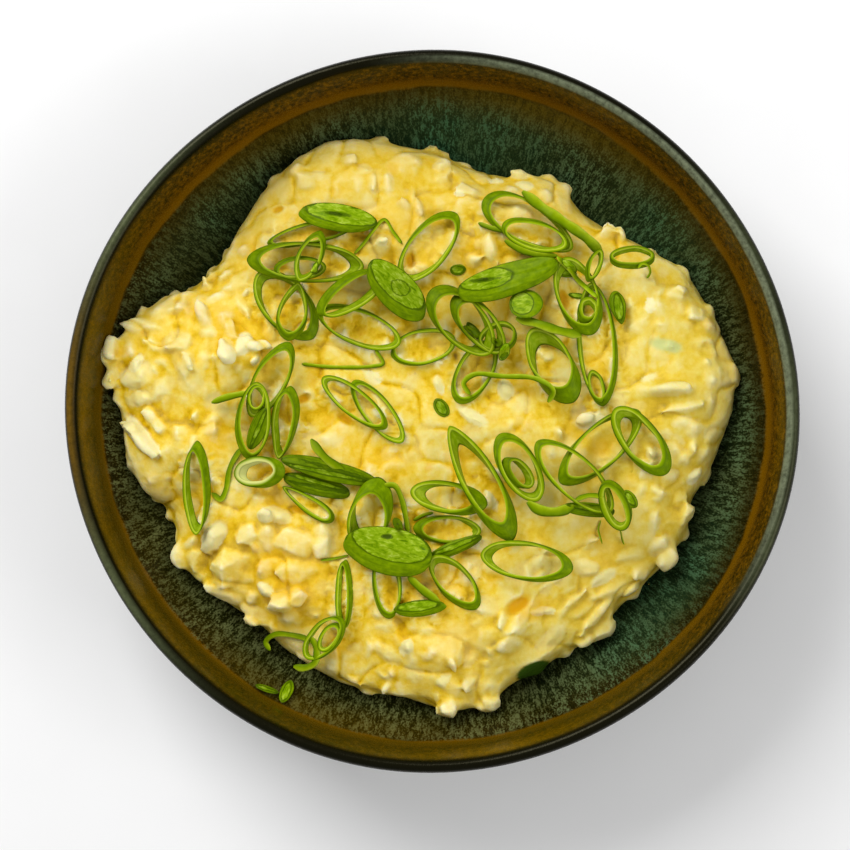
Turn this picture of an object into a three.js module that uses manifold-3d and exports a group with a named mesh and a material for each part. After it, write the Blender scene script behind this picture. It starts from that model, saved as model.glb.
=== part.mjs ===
// An egg spread heaped in a round stoneware bowl and scattered with sliced spring onion.
// Millimetres, +Z up. The bowl stands on z = 0 with its centre on the Z axis.

import * as THREE from "three";
import Module from "manifold-3d";

// Bowl

const BOWL_HALF_LENGTH = 100.2;
const BOWL_HALF_WIDTH = 98.6;
// The long axis of the slightly oval rim, from +X.
const BOWL_OVAL_TURN = -11.5;
// How far the hand-formed rim swells between its four flatter places.
const BOWL_RIM_SWELL = 0.35;
const BOWL_HEIGHT = 52;
const BOWL_SEGMENTS = 42;
const FOOT_RADIUS = 39;
const FOOT_WIDTH = 4.5;
const FOOT_RECESS = 3;

// Radius and height of the inner wall, from the middle of the floor to the crest of the lip.
// The fourth row from the end is the edge where the wall turns up steeply below the rim band.
const INNER_WALL = [
  [0, 7],
  [34, 7.2],
  [50, 9.5],
  [62, 13.2],
  [72, 18],
  [80, 23.3],
  [86.5, 29],
  [91, 34.2],
  [93, 37.2],
  [94.4, 43],
  [96.8, 50.6],
  [98.4, BOWL_HEIGHT],
];

// Radius and height of the outer wall, from the lip down to the foot ring.
const OUTER_WALL = [
  [BOWL_HALF_LENGTH, 50.6],
  [99.6, 45],
  [97.2, 37],
  [91, 26.5],
  [81, 17.5],
  [66, 9.5],
  [46, 4.4],
  [FOOT_RADIUS + 0.8, 3.4],
];

// Egg

// Corners of the heap's outline seen from above, at its lobes and bays: [x, y].
const HEAP_OUTLINE = [
  [83.5, -2], [85, 12], [79, 26], [70.5, 41], [62, 45.5], [52, 51], [42, 57.5],
  [33, 67.5], [21, 67.5], [9, 70.5], [0, 75.5], [-8, 76], [-17, 78.5], [-29, 78],
  [-38, 73.5], [-51, 60], [-60, 45], [-64, 40], [-71, 34.5], [-77.5, 32], [-84.5, 26],
  [-90, 18], [-89.5, 11], [-87.5, 3], [-87, -5], [-86.5, -13], [-82, -22], [-74, -26.5],
  [-72.5, -33], [-71.5, -41], [-65.5, -48.5], [-56, -54.5], [-48, -60], [-41, -67],
  [-30, -74], [-7, -80], [4, -83.5], [14, -81.5], [23, -75], [36, -68], [47, -61.5],
  [51.5, -54.5], [66, -41], [71.5, -33], [71.5, -26], [77, -18], [80.5, -9],
];
const HEAP_RINGS = 19;
const HEAP_BASE_RINGS = 7;
const HEAP_TOP = 37.5;
// Height of the rolled edge where the egg meets the bowl.
const HEAP_EDGE = 2.2;
// How square the shoulder is between the top and the edge.
const HEAP_SHOULDER = 7;
// Clear gap under the egg, wide enough for the flat facets of both surfaces.
const HEAP_GAP = 0.75;
// The same for the single pieces, which are cut to the bowl's own facets.
const PIECE_GAP = 0.35;
const LUMP_PITCH = 10.5;
const LUMP_HEIGHT = 3.6;
// The lumps are lower in the middle of the heap, where the slices lie: share of the full height.
const LUMP_MIDDLE_SHARE = 0.5;

// Broad swells of the heap's top: [x, y, radius, height].
const SWELLS = [
  [-66, 18, 22, 5.2],
  [-72, -14, 17, 2.2],
  [-22, 56, 24, 1.6],
  [22, 52, 20, 1.2],
  [56, 26, 22, 1.6],
  [62, -12, 20, 1.4],
  [-38, -40, 24, 2.2],
  [8, -60, 26, 2],
  [44, -52, 18, -2.6],
  [-6, 8, 26, -1.4],
  [14, 24, 16, -2],
  [-44, 0, 16, -1],
];

// Pieces of egg that stand out: [x, y, half length, half width, turn, rise above the heap].
const EGG_PIECES = [
  [-88.4, 16.4, 5.4, 3.8, 20, 1.2],
  [-86.5, 10.5, 5.4, 4.6, -10, 1.6],
  [-85.5, 4.5, 5.6, 4.4, 5, 1.8],
  [-79, 9, 4.6, 3.4, 40, 1.6],
  [-82.5, -9, 10.5, 4.2, 108, 1.2],
  [-70.5, 17, 4, 2.6, 60, 1.4],
  [-57.5, 16.5, 7, 3.4, 84, 1.7],
  [-51.5, 17.5, 5.6, 4.8, 70, 2],
  [-66.5, 13, 5.2, 2.2, -58, 1.2],
  [-71, 31, 6.5, 4, 25, 1.6],
  [-60.5, 37.5, 5.4, 3.6, 15, 1.4],
  [-56, 44, 4.2, 2.4, 70, 1.2],
  [-76, 27, 5, 3.2, -20, 1.3],
  [-36, 66, 6.5, 4.4, 20, 1.2],
  [-8, 70, 7, 4, -8, 1.2],
  [3, 69.5, 4.4, 2.6, 60, 1.4],
  [26, 66.5, 4.6, 2.4, -15, 1.5],
  [36, 63.5, 4, 3, -30, 1.3],
  [51, 48.5, 5.4, 3.8, -35, 1.4],
  [69, 33, 5, 3.4, -30, 1.3],
  [75, 25, 5.4, 3, -50, 1.3],
  [62.5, 29, 3.6, 2.2, -80, 1.3],
  [63, 24, 4.4, 2.2, 5, 1],
  [77, 10, 9, 4.4, -70, 1.3],
  [66, 6, 12, 3, 4, 1.2],
  [44.3, -2.6, 6.5, 3.3, 10, 1.5],
  [74, -8, 7.5, 4.2, 75, 1.2],
  [69, -28.6, 5.2, 3.4, -76, 1.4],
  [65, -38.2, 5, 3.6, -50, 1.4],
  [55.4, -43.6, 7.4, 3.8, -36, 1],
  [50.5, -47.5, 4.2, 2.4, 40, 1.2],
  [36, -52, 7.5, 2.8, 50, 1.1],
  [45.4, -60.6, 8.5, 3.6, 44, 1.3],
  [27, -68, 7.5, 3.4, 24, 1.2],
  [15, -80, 5, 3.4, 10, 1.3],
  [4, -81.5, 4.6, 3.2, -5, 1.3],
  [-9, -77, 6.2, 3.4, -10, 1.2],
  [-21, -72.5, 7, 3.4, -30, 1.4],
  [-26, -69.5, 5, 3, 10, 1.2],
  [-44.5, -49, 5, 3.8, -30, 1.5],
  [-38.5, -55, 5, 3.6, 50, 1.5],
  [-46.5, -29, 4, 2.8, -5, 1.6],
  [-58, -40, 8.6, 4.6, 74, 1.5],
  [-62, -29.5, 4.6, 3.2, 60, 1.6],
  [-48.6, -57, 5.6, 3.6, -38, 1.2],
  [-70.5, -40, 5.4, 3.8, 62, 1.4],
  [-60.8, -48, 5.8, 4, -44, 1.4],
  [-33, -36, 6.4, 2.6, -52, 1.3],
  [-30, -30.5, 3.6, 2, 40, 1.1],
  [10.8, -2, 7.6, 3, -32, 1.3],
  [20.6, 6, 3.2, 3, 0, 1.4],
  [0.4, 7.5, 4.4, 2.6, -70, 1.2],
  [-15.5, 49, 4.6, 3.8, 60, 1.1],
  [-6, 31, 3.6, 2.6, 0, 0.6],
  [13, 44, 4.4, 2.8, 80, 1.1],
  [58, 36.5, 5.6, 3.4, 70, 1.2],
  [-14, -62, 7, 3.4, -4, 1.3],
  [4, -68, 6.4, 3.2, -18, 1.3],
  [16, -62, 5.6, 3, 25, 1.2],
  [62, -22, 5, 3, -40, 1.1],
  [28.4, -72.6, 4.6, 2.2, 22, 0.3],
];
const EGG_PIECE_SINK = 3.2;
// The pieces stand this much bolder than their rise in the outer half of the heap.
const EGG_PIECE_BOLDNESS = 1.55;
// Facets of the egg that differ by less than this are merged.
const EGG_TOLERANCE = 0.1;

// Spring onion

const ONION_WALL = 0.95;
const ONION_THICKNESS = 1.15;
const GAP = 0.32;
// Steepest rise of a slice over what lies under it.
const DRAPE_SLOPE = 0.34;
// The same where slices stick together and lie as one.
const STUCK_SLOPE = 0.2;
// Steepest rise of the shreds and bits that stick to the egg and follow it.
const CLING_SLOPE = 0.7;
// How deep the shreds and bits that stick to the egg are pressed in.
const SHRED_SINK = 1.1;

// Slices cut across the hollow leaf, from the lowest to the highest in each place.
// at: centre, half: half length and half width, turn: of the long axis from +X,
// lean: how far the skin shows past the cut face along the long and the short axis,
// point: 0 for an oval, more for pointed ends, skew: fuller towards the end that turn points to.
const RINGS = {
  a2: { at: [-33, 49.9], half: [13.4, 3.2], turn: 12, lean: [-1, 0], point: 0.15 },
  a6: { at: [-40.6, 29.6], half: [12.2, 6.6], turn: -50, lean: [2.4, 0], point: 0.2 },
  a7: { at: [-38.4, 27.6], half: [8.6, 4], turn: 80, lean: [-1.6, 0], point: 0.3, skew: -0.25 },
  a3: { at: [-35, 41.2], half: [16.6, 5.8], turn: -4, lean: [-3.4, 0], point: 0.12 },
  a4: { at: [-36.4, 39.6], half: [7.4, 3.6], turn: 4, lean: [-0.8, 0.6] },
  a5: { at: [-33.4, 42.6], half: [8, 3.6], turn: 68, lean: [1.6, 0], point: 0.3 },
  b2: { at: [-0.6, 45.9], half: [12.4, 5.9], turn: 50, lean: [1.9, 0.6], point: 0.08 },
  b5: { at: [-2.4, 18], half: [9.4, 5], turn: 12, lean: [-0.8, 0] },
  b4: { at: [-20, 23.3], half: [12.4, 5.3], turn: -20, lean: [-1.4, 0.5], point: 0.05 },
  b3: { at: [-22, 32.4], half: [11, 5], turn: 34, lean: [-1.4, 1.8], point: 0.1 },
  c2: { at: [27, 52.2], half: [14.4, 5.9], turn: -30, lean: [-2.2, 0], skew: -0.2 },
  c3: { at: [28.8, 48.6], half: [9.6, 4.5], turn: -16, lean: [-1, 0.6] },
  d8: { at: [46.1, 18.2], half: [17.4, 5.7], turn: -86, lean: [1.6, 0.6], point: 0.15 },
  d8b: { at: [45.9, 6.2], half: [5.2, 2.3], turn: -74, lean: [0.8, 0], point: 0.1 },
  d9: { at: [33.7, 12.4], half: [12, 5.7], turn: -60, lean: [4.6, 0], point: 0.12, skew: 0.1 },
  d1: { at: [40.8, 31.4], half: [11.4, 5.9], turn: -70, lean: [2.6, 0], point: 0.05 },
  d3: { at: [43.6, 27.4], half: [4, 3], turn: 78, lean: [-1.4, 0], wall: 1.2 },
  d4: { at: [45.3, 39.8], half: [5, 2.2], turn: 70, lean: [-0.8, 0.5], point: 0.15 },
  d5: { at: [55.8, 42], half: [6.3, 3.3], turn: 3, lean: [0, -1] },
  g1: { at: [12, 10.9], half: [10, 5], turn: 61, lean: [-1.4, 0] },
  c8a: { at: [8.6, 24.6], half: [12.4, 6.3], turn: -47, lean: [-3.2, 0], skew: -0.1 },
  c8b: { at: [13.3, 23.8], half: [10.6, 4.8], turn: -50, lean: [-3, 0], skew: -0.1 },
  c8d: { at: [18.6, 20], half: [5.3, 4.6], turn: 20, lean: [0, -0.9] },
  e1: { at: [-44.6, 8.5], half: [11.8, 4.9], turn: 60, lean: [2, 0.5], point: 0.12 },
  e3: { at: [-40.7, -3.4], half: [10.4, 3.7], turn: 82, lean: [1.8, -1], point: 0.2, skew: 0.25 },
  e2: { at: [-49.2, -3], half: [10.9, 5.1], turn: 85, lean: [-1.2, 0.8], point: 0.08 },
  e2b: { at: [-48.1, 3.4], half: [3.5, 2.6], turn: 80, wall: 0.8 },
  e6: { at: [-65.2, -21.5], half: [13.2, 4], turn: 92, lean: [2.4, -1.2], point: 0.2 },
  e8e: { at: [-34.2, -25.9], half: [8.6, 2.4], turn: -34, lean: [0.9, 0], skew: 0.4 },
  e5: { at: [-47.4, -17.2], half: [7.3, 4.5], turn: 8, lean: [2.2, -0.6], wall: 1.5 },
  f2b: { at: [-15, -0.2], half: [11.3, 4], turn: -51, lean: [-1.2, 0], point: 0.05 },
  f2a: { at: [-21.4, 2.3], half: [11.5, 3.9], turn: -38, lean: [1.2, 0], point: 0.05 },
  f6: { at: [-16.8, -29], half: [10.8, 5.9], turn: 80, lean: [4.4, -0.8], point: 0.08 },
  k6: { at: [4.5, -33.1], half: [9.6, 3.9], turn: -2, lean: [-2.2, 0], point: 0.05 },
  g6: { at: [5, -24.3], half: [10.9, 4.5], turn: -10, lean: [3.4, 0], wall: 1.2, point: 0.08 },
  g3: { at: [13.9, -20.2], half: [18.2, 5.2], turn: -61, lean: [5, 0], wall: 1.2, point: 0.2, skew: 0.2 },
  g4: { at: [24.4, -16], half: [10.8, 5.3], turn: -60, lean: [-2, 0], wall: 1.2, point: 0.08 },
  g4b: { at: [24.1, -17.6], half: [5.6, 3.5], turn: -52, lean: [-1.4, -1.4] },
  h3: { at: [46.7, -10.4], half: [15, 5.8], turn: 42, lean: [-2.8, 0], point: 0.1 },
  h1: { at: [39.5, -18.6], half: [14.2, 5.7], turn: -43, lean: [-1.6, 0], point: 0.12 },
  h4: { at: [58, -8.8], half: [11.7, 5.3], turn: -51, lean: [2.6, 0], wall: 1.4 },
  h5: { at: [50.6, -26.6], half: [7.3, 4.3], turn: -66, lean: [-0.8, 0.8], wall: 1.6 },
  k1: { at: [-24.2, -51.2], half: [9.8, 2.6], turn: 90, lean: [0.8, -0.9], point: 0.15 },
  k2: { at: [-12.2, -48.4], half: [9.4, 4.2], turn: 95, lean: [-1.2, 0.4] },
  k5: { at: [6.6, -47.6], half: [9.8, 4.8], turn: -46, lean: [1.8, -0.6], point: 0.12 },
  k9: { at: [26.5, -41.8], half: [13, 5.5], turn: -8, lean: [2.6, -0.4], point: 0.05 },
  l1: { at: [-29.7, -63.1], half: [7.7, 4.3], turn: 48, lean: [0.8, -0.5] },
  l2: { at: [-28.2, -62.8], half: [4.6, 2.6], turn: 56, lean: [0.6, 0] },
};

// Flattened slices and cut leaf ends, solid from side to side. The same words as for RINGS.
const LEAVES = {
  a1: { at: [-26, 53.6], half: [11.2, 3.9], turn: -10, lean: [-1, -1.4], point: 0.1 },
  b3b: { at: [-9.4, 33], half: [10.6, 5.4], turn: -43, lean: [1.2, -1.8] },
  c7: { at: [21.6, 36], half: [14.3, 4.7], turn: 17, lean: [0, -1.8], skew: -0.1 },
  c9: { at: [26.4, 29.2], half: [4.6, 4.2], turn: 0, lean: [0, 0.4] },
  d2: { at: [37.8, 38.3], half: [2.8, 1.2], turn: -5, lean: [0, 0] },
  d7: { at: [51.9, 28.4], half: [4.9, 2.2], turn: 98, lean: [0.8, 0.5], skew: 0.3, point: 0.1 },
  e2c: { at: [-47.8, -4.9], half: [6.3, 2.5], turn: 66, lean: [0, 0.8], point: 0.05 },
  e8b: { at: [-31.8, -20.9], half: [9.6, 2.8], turn: -14, lean: [0.4, -1.2] },
  e8a: { at: [-28.4, -16.6], half: [13.4, 3], turn: -14, lean: [0.4, 1], point: 0.1 },
  k3: { at: [-3, -54.8], half: [7.3, 2.4], turn: 7, lean: [0.8, -1], point: 0.15 },
  k8: { at: [6.6, -38.1], half: [8, 1.9], turn: 22, lean: [0, -0.6], point: 0.1 },
  h8: { at: [54.7, -24.9], half: [2.8, 1.7], turn: -56, lean: [0, 0] },
  h6: { at: [43.6, -27.7], half: [7, 2], turn: -6, lean: [0, -0.8] },
  j1: { at: [-11.8, -39], half: [12.4, 6.6], turn: -13, lean: [-0.4, -2], skew: 0.12 },
  m1: { at: [-45.9, -77.3], half: [3.3, 0.8], turn: -20, slope: 1.2, reach: 0.6 },
  m2: { at: [-40.7, -78.1], half: [3, 1.7], turn: 74, slope: 1.2, reach: 0.5, point: 0.1 },
};

// Shreds: a line through the middle, and the width.
const STRIPS = {
  b1: { line: [[-21.5, 44], [-16.2, 50], [-13, 53.5], [-10.6, 50], [-8.2, 46.8]], width: 0.9 },
  c4: { line: [[25.5, 61], [30.4, 56.8], [37, 52], [43.4, 47.6], [47.8, 43.4]], width: 2.7 },
  c5: { line: [[13.2, 52.5], [16.4, 51.1], [20.8, 50]], width: 1.4 },
  c6: { line: [[20.6, 47.2], [25.4, 44.4], [30.5, 42.9], [35.2, 42.8]], width: 1.9 },
  c10: { line: [[23.6, 25.4], [28.6, 24], [34.6, 21.9], [41.6, 20.3]], width: 2.4 },
  e4: { line: [[-61, 2.2], [-57, 3.5], [-50.6, 4.8]], width: 1.8 },
  e7: { line: [[-53, -10], [-56, -15.6], [-57.3, -22], [-58.8, -24.6], [-61.4, -22.8]], width: 1.5 },
  e8c: { line: [[-33.4, -8], [-30.8, -11.6], [-27.6, -14.6], [-24, -16.6]], width: 2.2 },
  f1: { line: [[-36.3, 13.3], [-27, 12.4], [-17, 12.6], [-13.6, 13.4], [-15.7, 17.2]], width: 1 },
  f7: { line: [[-13.8, -21.2], [-10.2, -20.9], [-8.2, -24.4], [-6.3, -34]], width: 1.5 },
  g2: {
    line: [[10.8, 4.4], [9, 7.6], [12, 10], [20, 9.4], [29, 8.5], [33.9, 5], [32.4, 1.9]],
    width: 1.4,
  },
  h7: { line: [[26.6, -25.6], [30, -27.8], [34.6, -28.3], [39.6, -26.8]], width: 2.7 },
  h9: { line: [[39.8, -25], [43.4, -23.9], [47.4, -24.2]], width: 1.4 },
  k4: { line: [[-6.2, -46], [-2.4, -49.6], [2.4, -53]], width: 2.2 },
  l3: { line: [[-33.4, -62.8], [-31.8, -66], [-32.4, -70], [-35.4, -71.4], [-38.4, -71]], width: 1.9 },
  l6: { line: [[-46, -67], [-47.2, -64.6], [-44.2, -62.4], [-37, -62.9], [-32, -64.8]], width: 1.5 },
};

// Single bits lying on the egg: [x, y, half length, half width, turn].
const BITS = [
  [7.4, 39.6, 2.2, 1.5, 5],
  [2.7, 1, 2.9, 1.9, -57],
  [40.8, 32, 2.6, 0.8, -10],
  [12, 22.4, 3.2, 1.2, -50],
];

// Slices that lie inside or against another one and stick to it: each becomes part of that node.
const STUCK = {
  a3: ["a4"],
  c2: ["c5"],
  c3: ["c6"],
  c8a: ["c8b", "c8d"],
  d1: ["d3"],
  d8: ["d8b"],
  e2: ["e4", "e2b", "e2c"],
  e8a: ["e8c"],
  f6: ["f7"],
  g4: ["g4b"],
  h5: ["h8", "h9"],
  h7: ["h6"],
  k3: ["k4"],
  l1: ["l2", "l3"],
};

const wasm = await Module();
wasm.setup();

// A repeatable run of numbers between 0 and 1.
function sequence(seed) {
  let state = seed;
  return () => {
    state = (state * 16807) % 2147483647;
    return state / 2147483647;
  };
}

function solidFrom(points, faces) {
  return new wasm.Manifold(
    new wasm.Mesh({
      numProp: 3,
      vertProperties: new Float32Array(points.flat()),
      triVerts: new Uint32Array(faces.flat()),
    }),
  );
}

// The height of a wall profile at a radius.
function profileHeight(rows, radius) {
  for (let i = 1; i < rows.length; i++) {
    const [r0, z0] = rows[i - 1];
    const [r1, z1] = rows[i];
    if (radius <= r1) {
      return z0 + ((z1 - z0) * (radius - r0)) / (r1 - r0);
    }
  }
  return rows[rows.length - 1][1];
}

// The bowl's departure from a true circle, as a factor on the radius.
function ovalFactor(angle, radius) {
  const turn = THREE.MathUtils.degToRad(BOWL_OVAL_TURN);
  const amount = THREE.MathUtils.smoothstep(radius, FOOT_RADIUS + 6, BOWL_HALF_LENGTH);
  const mean = (BOWL_HALF_LENGTH + BOWL_HALF_WIDTH) / 2;
  const oval = ((BOWL_HALF_LENGTH - BOWL_HALF_WIDTH) / 2) * Math.cos(2 * (angle - turn));
  const swell = BOWL_RIM_SWELL * Math.cos(4 * (angle - turn));
  return 1 + (amount * (mean - BOWL_HALF_LENGTH + oval + swell)) / BOWL_HALF_LENGTH;
}

function bowlHeight(x, y) {
  const radius = Math.hypot(x, y);
  const angle = Math.atan2(y, x);
  return profileHeight(INNER_WALL, radius / ovalFactor(angle, radius));
}

// A closed body turned from a profile that starts and ends on the axis.
function turned(profile, segments) {
  const points = [[0, 0, profile[0][1]]];
  const faces = [];
  const rings = profile.slice(1, -1);
  rings.forEach(([radius, z]) => {
    for (let j = 0; j < segments; j++) {
      const angle = (2 * Math.PI * j) / segments;
      const r = radius * ovalFactor(angle, radius);
      points.push([r * Math.cos(angle), r * Math.sin(angle), z]);
    }
  });
  points.push([0, 0, profile[profile.length - 1][1]]);
  const at = (i, j) => 1 + i * segments + (j % segments);
  for (let j = 0; j < segments; j++) {
    faces.push([0, at(0, j), at(0, j + 1)]);
    for (let i = 0; i + 1 < rings.length; i++) {
      faces.push([at(i, j), at(i + 1, j), at(i + 1, j + 1)]);
      faces.push([at(i, j), at(i + 1, j + 1), at(i, j + 1)]);
    }
    faces.push([points.length - 1, at(rings.length - 1, j + 1), at(rings.length - 1, j)]);
  }
  return solidFrom(points, faces);
}

function bowlSolid() {
  const footInner = FOOT_RADIUS - FOOT_WIDTH;
  const foot = [
    [FOOT_RADIUS, 0],
    [footInner, 0],
    [footInner - 1, FOOT_RECESS],
    [0, FOOT_RECESS],
  ];
  return turned([...INNER_WALL, ...OUTER_WALL, ...foot], BOWL_SEGMENTS);
}

// Pits and lumps of chopped egg: a rounded mound in each cell of an uneven lattice.
function lumps(x, y) {
  const column = Math.floor(x / LUMP_PITCH);
  const row = Math.floor(y / LUMP_PITCH);
  let best = 0;
  for (let i = column - 1; i <= column + 1; i++) {
    for (let j = row - 1; j <= row + 1; j++) {
      const draw = sequence(((i + 40) * 7919 + (j + 40) * 104729) % 2147483646 + 1);
      draw();
      const cx = (i + 0.15 + 0.7 * draw()) * LUMP_PITCH;
      const cy = (j + 0.15 + 0.7 * draw()) * LUMP_PITCH;
      const reach = LUMP_PITCH * (0.55 + 0.4 * draw());
      const share = 0.45 + 0.55 * draw();
      const away = Math.hypot(x - cx, y - cy) / reach;
      best = Math.max(best, share * (1 - away * away));
    }
  }
  return best;
}

const HEAP_CORNERS = HEAP_OUTLINE.map(([x, y]) => ({
  angle: THREE.MathUtils.euclideanModulo(Math.atan2(y, x), 2 * Math.PI),
  reach: Math.hypot(x, y),
})).sort((a, b) => a.angle - b.angle);

// How far the heap reaches from the bowl's centre in a direction.
function heapReach(angle) {
  const turn = THREE.MathUtils.euclideanModulo(angle, 2 * Math.PI);
  const next = Math.max(0, HEAP_CORNERS.findIndex((corner) => corner.angle > turn));
  const after = HEAP_CORNERS[next];
  const before = HEAP_CORNERS.at(next - 1);
  const between = THREE.MathUtils.euclideanModulo(after.angle - before.angle, 2 * Math.PI);
  const share = THREE.MathUtils.euclideanModulo(turn - before.angle, 2 * Math.PI) / between;
  return THREE.MathUtils.lerp(before.reach, after.reach, share);
}

// The top of the heap without its single pieces.
function heapHeight(x, y) {
  const radius = Math.hypot(x, y);
  const angle = Math.atan2(y, x);
  const reach = heapReach(angle);
  const share = Math.min(1, radius / reach);
  const edgeRadius = reach / ovalFactor(angle, reach);
  const edge = profileHeight(INNER_WALL, edgeRadius) + HEAP_GAP + HEAP_EDGE;
  let top = HEAP_TOP;
  SWELLS.forEach(([cx, cy, size, height]) => {
    const away = Math.hypot(x - cx, y - cy) / size;
    top += height * Math.exp(-away * away);
  });
  const shoulder = Math.sqrt(Math.max(0, 1 - Math.pow(share, HEAP_SHOULDER)));
  const boldness = THREE.MathUtils.lerp(LUMP_MIDDLE_SHARE, 1, THREE.MathUtils.smoothstep(share, 0.4, 0.85));
  const relief = LUMP_HEIGHT * boldness * (lumps(x, y) - 0.5) * Math.min(1, 6 * (1 - share));
  return edge + (Math.max(top, edge + 1.5) - edge) * shoulder + relief;
}

// A disc of triangles: ring k has 6 k corners, and the last ring is the outline.
function discGrid(rings, place) {
  const points = [place(0, 0)];
  const start = [0];
  const faces = [];
  for (let k = 1; k <= rings; k++) {
    start.push(points.length);
    for (let j = 0; j < 6 * k; j++) {
      points.push(place(k / rings, (2 * Math.PI * j) / (6 * k)));
    }
    const inner = (j) => (k === 1 ? 0 : start[k - 1] + (j % (6 * (k - 1))));
    const outer = (j) => start[k] + (j % (6 * k));
    for (let side = 0; side < 6; side++) {
      for (let j = 0; j < k; j++) {
        const o = side * k + j;
        const i = side * (k - 1) + j;
        faces.push([outer(o), outer(o + 1), inner(i)]);
        if (j < k - 1) {
          faces.push([inner(i), outer(o + 1), inner(i + 1)]);
        }
      }
    }
  }
  return { points, faces, outline: start[rings] };
}

// A band of triangles between two closed loops of corners that both start at angle 0.
function stitch(lower, upper) {
  const faces = [];
  let i = 0;
  let j = 0;
  while (i < lower.length || j < upper.length) {
    const a = lower[i % lower.length];
    const b = upper[j % upper.length];
    if (j >= upper.length || (i < lower.length && (i + 1) / lower.length <= (j + 1) / upper.length)) {
      faces.push([a, lower[(i + 1) % lower.length], b]);
      i += 1;
    } else {
      faces.push([a, upper[(j + 1) % upper.length], b]);
      j += 1;
    }
  }
  return faces;
}

function heapCore() {
  // The rings crowd towards the edge, where the heap turns down.
  const spread = (share) => 1 - Math.pow(1 - share, 1.25);
  const wander = sequence(41);
  const top = discGrid(HEAP_RINGS, (share, angle) => {
    const free = share > 0 && share < 0.98 ? 0.9 : 0;
    const r = spread(share) * heapReach(angle) + free * (wander() - 0.5);
    const a = angle + (free * (wander() - 0.5)) / Math.max(r, 6);
    const x = r * Math.cos(a);
    const y = r * Math.sin(a);
    return [x, y, heapHeight(x, y)];
  });
  const base = discGrid(HEAP_BASE_RINGS, (share, angle) => {
    const r = share * heapReach(angle) * 0.995;
    const x = r * Math.cos(angle);
    const y = r * Math.sin(angle);
    return [x, y, bowlHeight(x, y) + HEAP_GAP];
  });
  const shift = top.points.length;
  const points = [...top.points, ...base.points];
  const under = base.faces.map(([a, b, c]) => [a + shift, c + shift, b + shift]);
  const upper = Array.from({ length: 6 * HEAP_RINGS }, (_, j) => top.outline + j);
  const lower = Array.from({ length: 6 * HEAP_BASE_RINGS }, (_, j) => shift + base.outline + j);
  return solidFrom(points, [...top.faces, ...under, ...stitch(lower, upper)]);
}

// A rough block with few sides, the hull of points on a squashed ball.
function roughBlock(halfLength, halfWidth, halfHeight, draw) {
  const points = [];
  const count = 11;
  for (let i = 0; i < count; i++) {
    const lift = 1 - (2 * (i + 0.5)) / count;
    const around = i * 2.39996 + 0.7 * draw();
    const across = Math.sqrt(1 - lift * lift);
    const size = 0.86 + 0.22 * draw();
    points.push([
      halfLength * size * across * Math.cos(around),
      halfWidth * size * across * Math.sin(around),
      halfHeight * size * lift,
    ]);
  }
  return wasm.Manifold.hull(points);
}

// The space inside the bowl, less a gap all over.
function bowlRoom() {
  const floor = [[0, INNER_WALL[0][1] + PIECE_GAP]];
  const wall = INNER_WALL.slice(1).map(([r, z]) => [r - PIECE_GAP, z + PIECE_GAP]);
  const rim = wall[wall.length - 1];
  return turned([[0, rim[1] + 1], [rim[0], rim[1] + 1], ...wall.reverse(), ...floor], BOWL_SEGMENTS);
}

function heapSolid() {
  const room = bowlRoom();
  const draw = sequence(97);
  const pieces = EGG_PIECES.map(([x, y, halfLength, halfWidth, turn, lift]) => {
    const rise = lift * (Math.hypot(x, y) > BOWL_HALF_LENGTH / 2 ? EGG_PIECE_BOLDNESS : 1);
    const half = (EGG_PIECE_SINK + rise) / 2;
    const block = roughBlock(halfLength, halfWidth, half, draw);
    const height = Math.max(heapHeight(x, y), bowlHeight(x, y) + 4) + rise - half;
    return block.rotate([0, 0, turn]).translate([x, y, height]).intersect(room);
  });
  return wasm.Manifold.union([heapCore(), ...pieces]);
}

// A map of the highest surface so far, for laying slices on what is under them.
const MAP_CELL = 0.4;
const MAP_HALF = 98;
const MAP_SIDE = Math.round((2 * MAP_HALF) / MAP_CELL);
const surface = new Float32Array(MAP_SIDE * MAP_SIDE);

function stamp(solid) {
  const mesh = solid.getMesh();
  const at = (v) => mesh.vertProperties.subarray(v * mesh.numProp, v * mesh.numProp + 3);
  for (let t = 0; t < mesh.triVerts.length; t += 3) {
    const [a, b, c] = [at(mesh.triVerts[t]), at(mesh.triVerts[t + 1]), at(mesh.triVerts[t + 2])];
    const area = (b[0] - a[0]) * (c[1] - a[1]) - (c[0] - a[0]) * (b[1] - a[1]);
    if (area < 1e-9) {
      continue;
    }
    const cell = (value) => Math.floor((value + MAP_HALF) / MAP_CELL);
    const low = [cell(Math.min(a[0], b[0], c[0])), cell(Math.min(a[1], b[1], c[1]))];
    const high = [cell(Math.max(a[0], b[0], c[0])) + 1, cell(Math.max(a[1], b[1], c[1])) + 1];
    for (let i = Math.max(0, low[0]); i <= Math.min(MAP_SIDE - 1, high[0]); i++) {
      for (let j = Math.max(0, low[1]); j <= Math.min(MAP_SIDE - 1, high[1]); j++) {
        const x = (i + 0.5) * MAP_CELL - MAP_HALF;
        const y = (j + 0.5) * MAP_CELL - MAP_HALF;
        const u = ((x - a[0]) * (c[1] - a[1]) - (c[0] - a[0]) * (y - a[1])) / area;
        const v = ((b[0] - a[0]) * (y - a[1]) - (x - a[0]) * (b[1] - a[1])) / area;
        if (u > -0.02 && v > -0.02 && u + v < 1.02) {
          const z = a[2] + u * (b[2] - a[2]) + v * (c[2] - a[2]);
          const k = i * MAP_SIDE + j;
          surface[k] = Math.max(surface[k], z);
        }
      }
    }
  }
}

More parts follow.
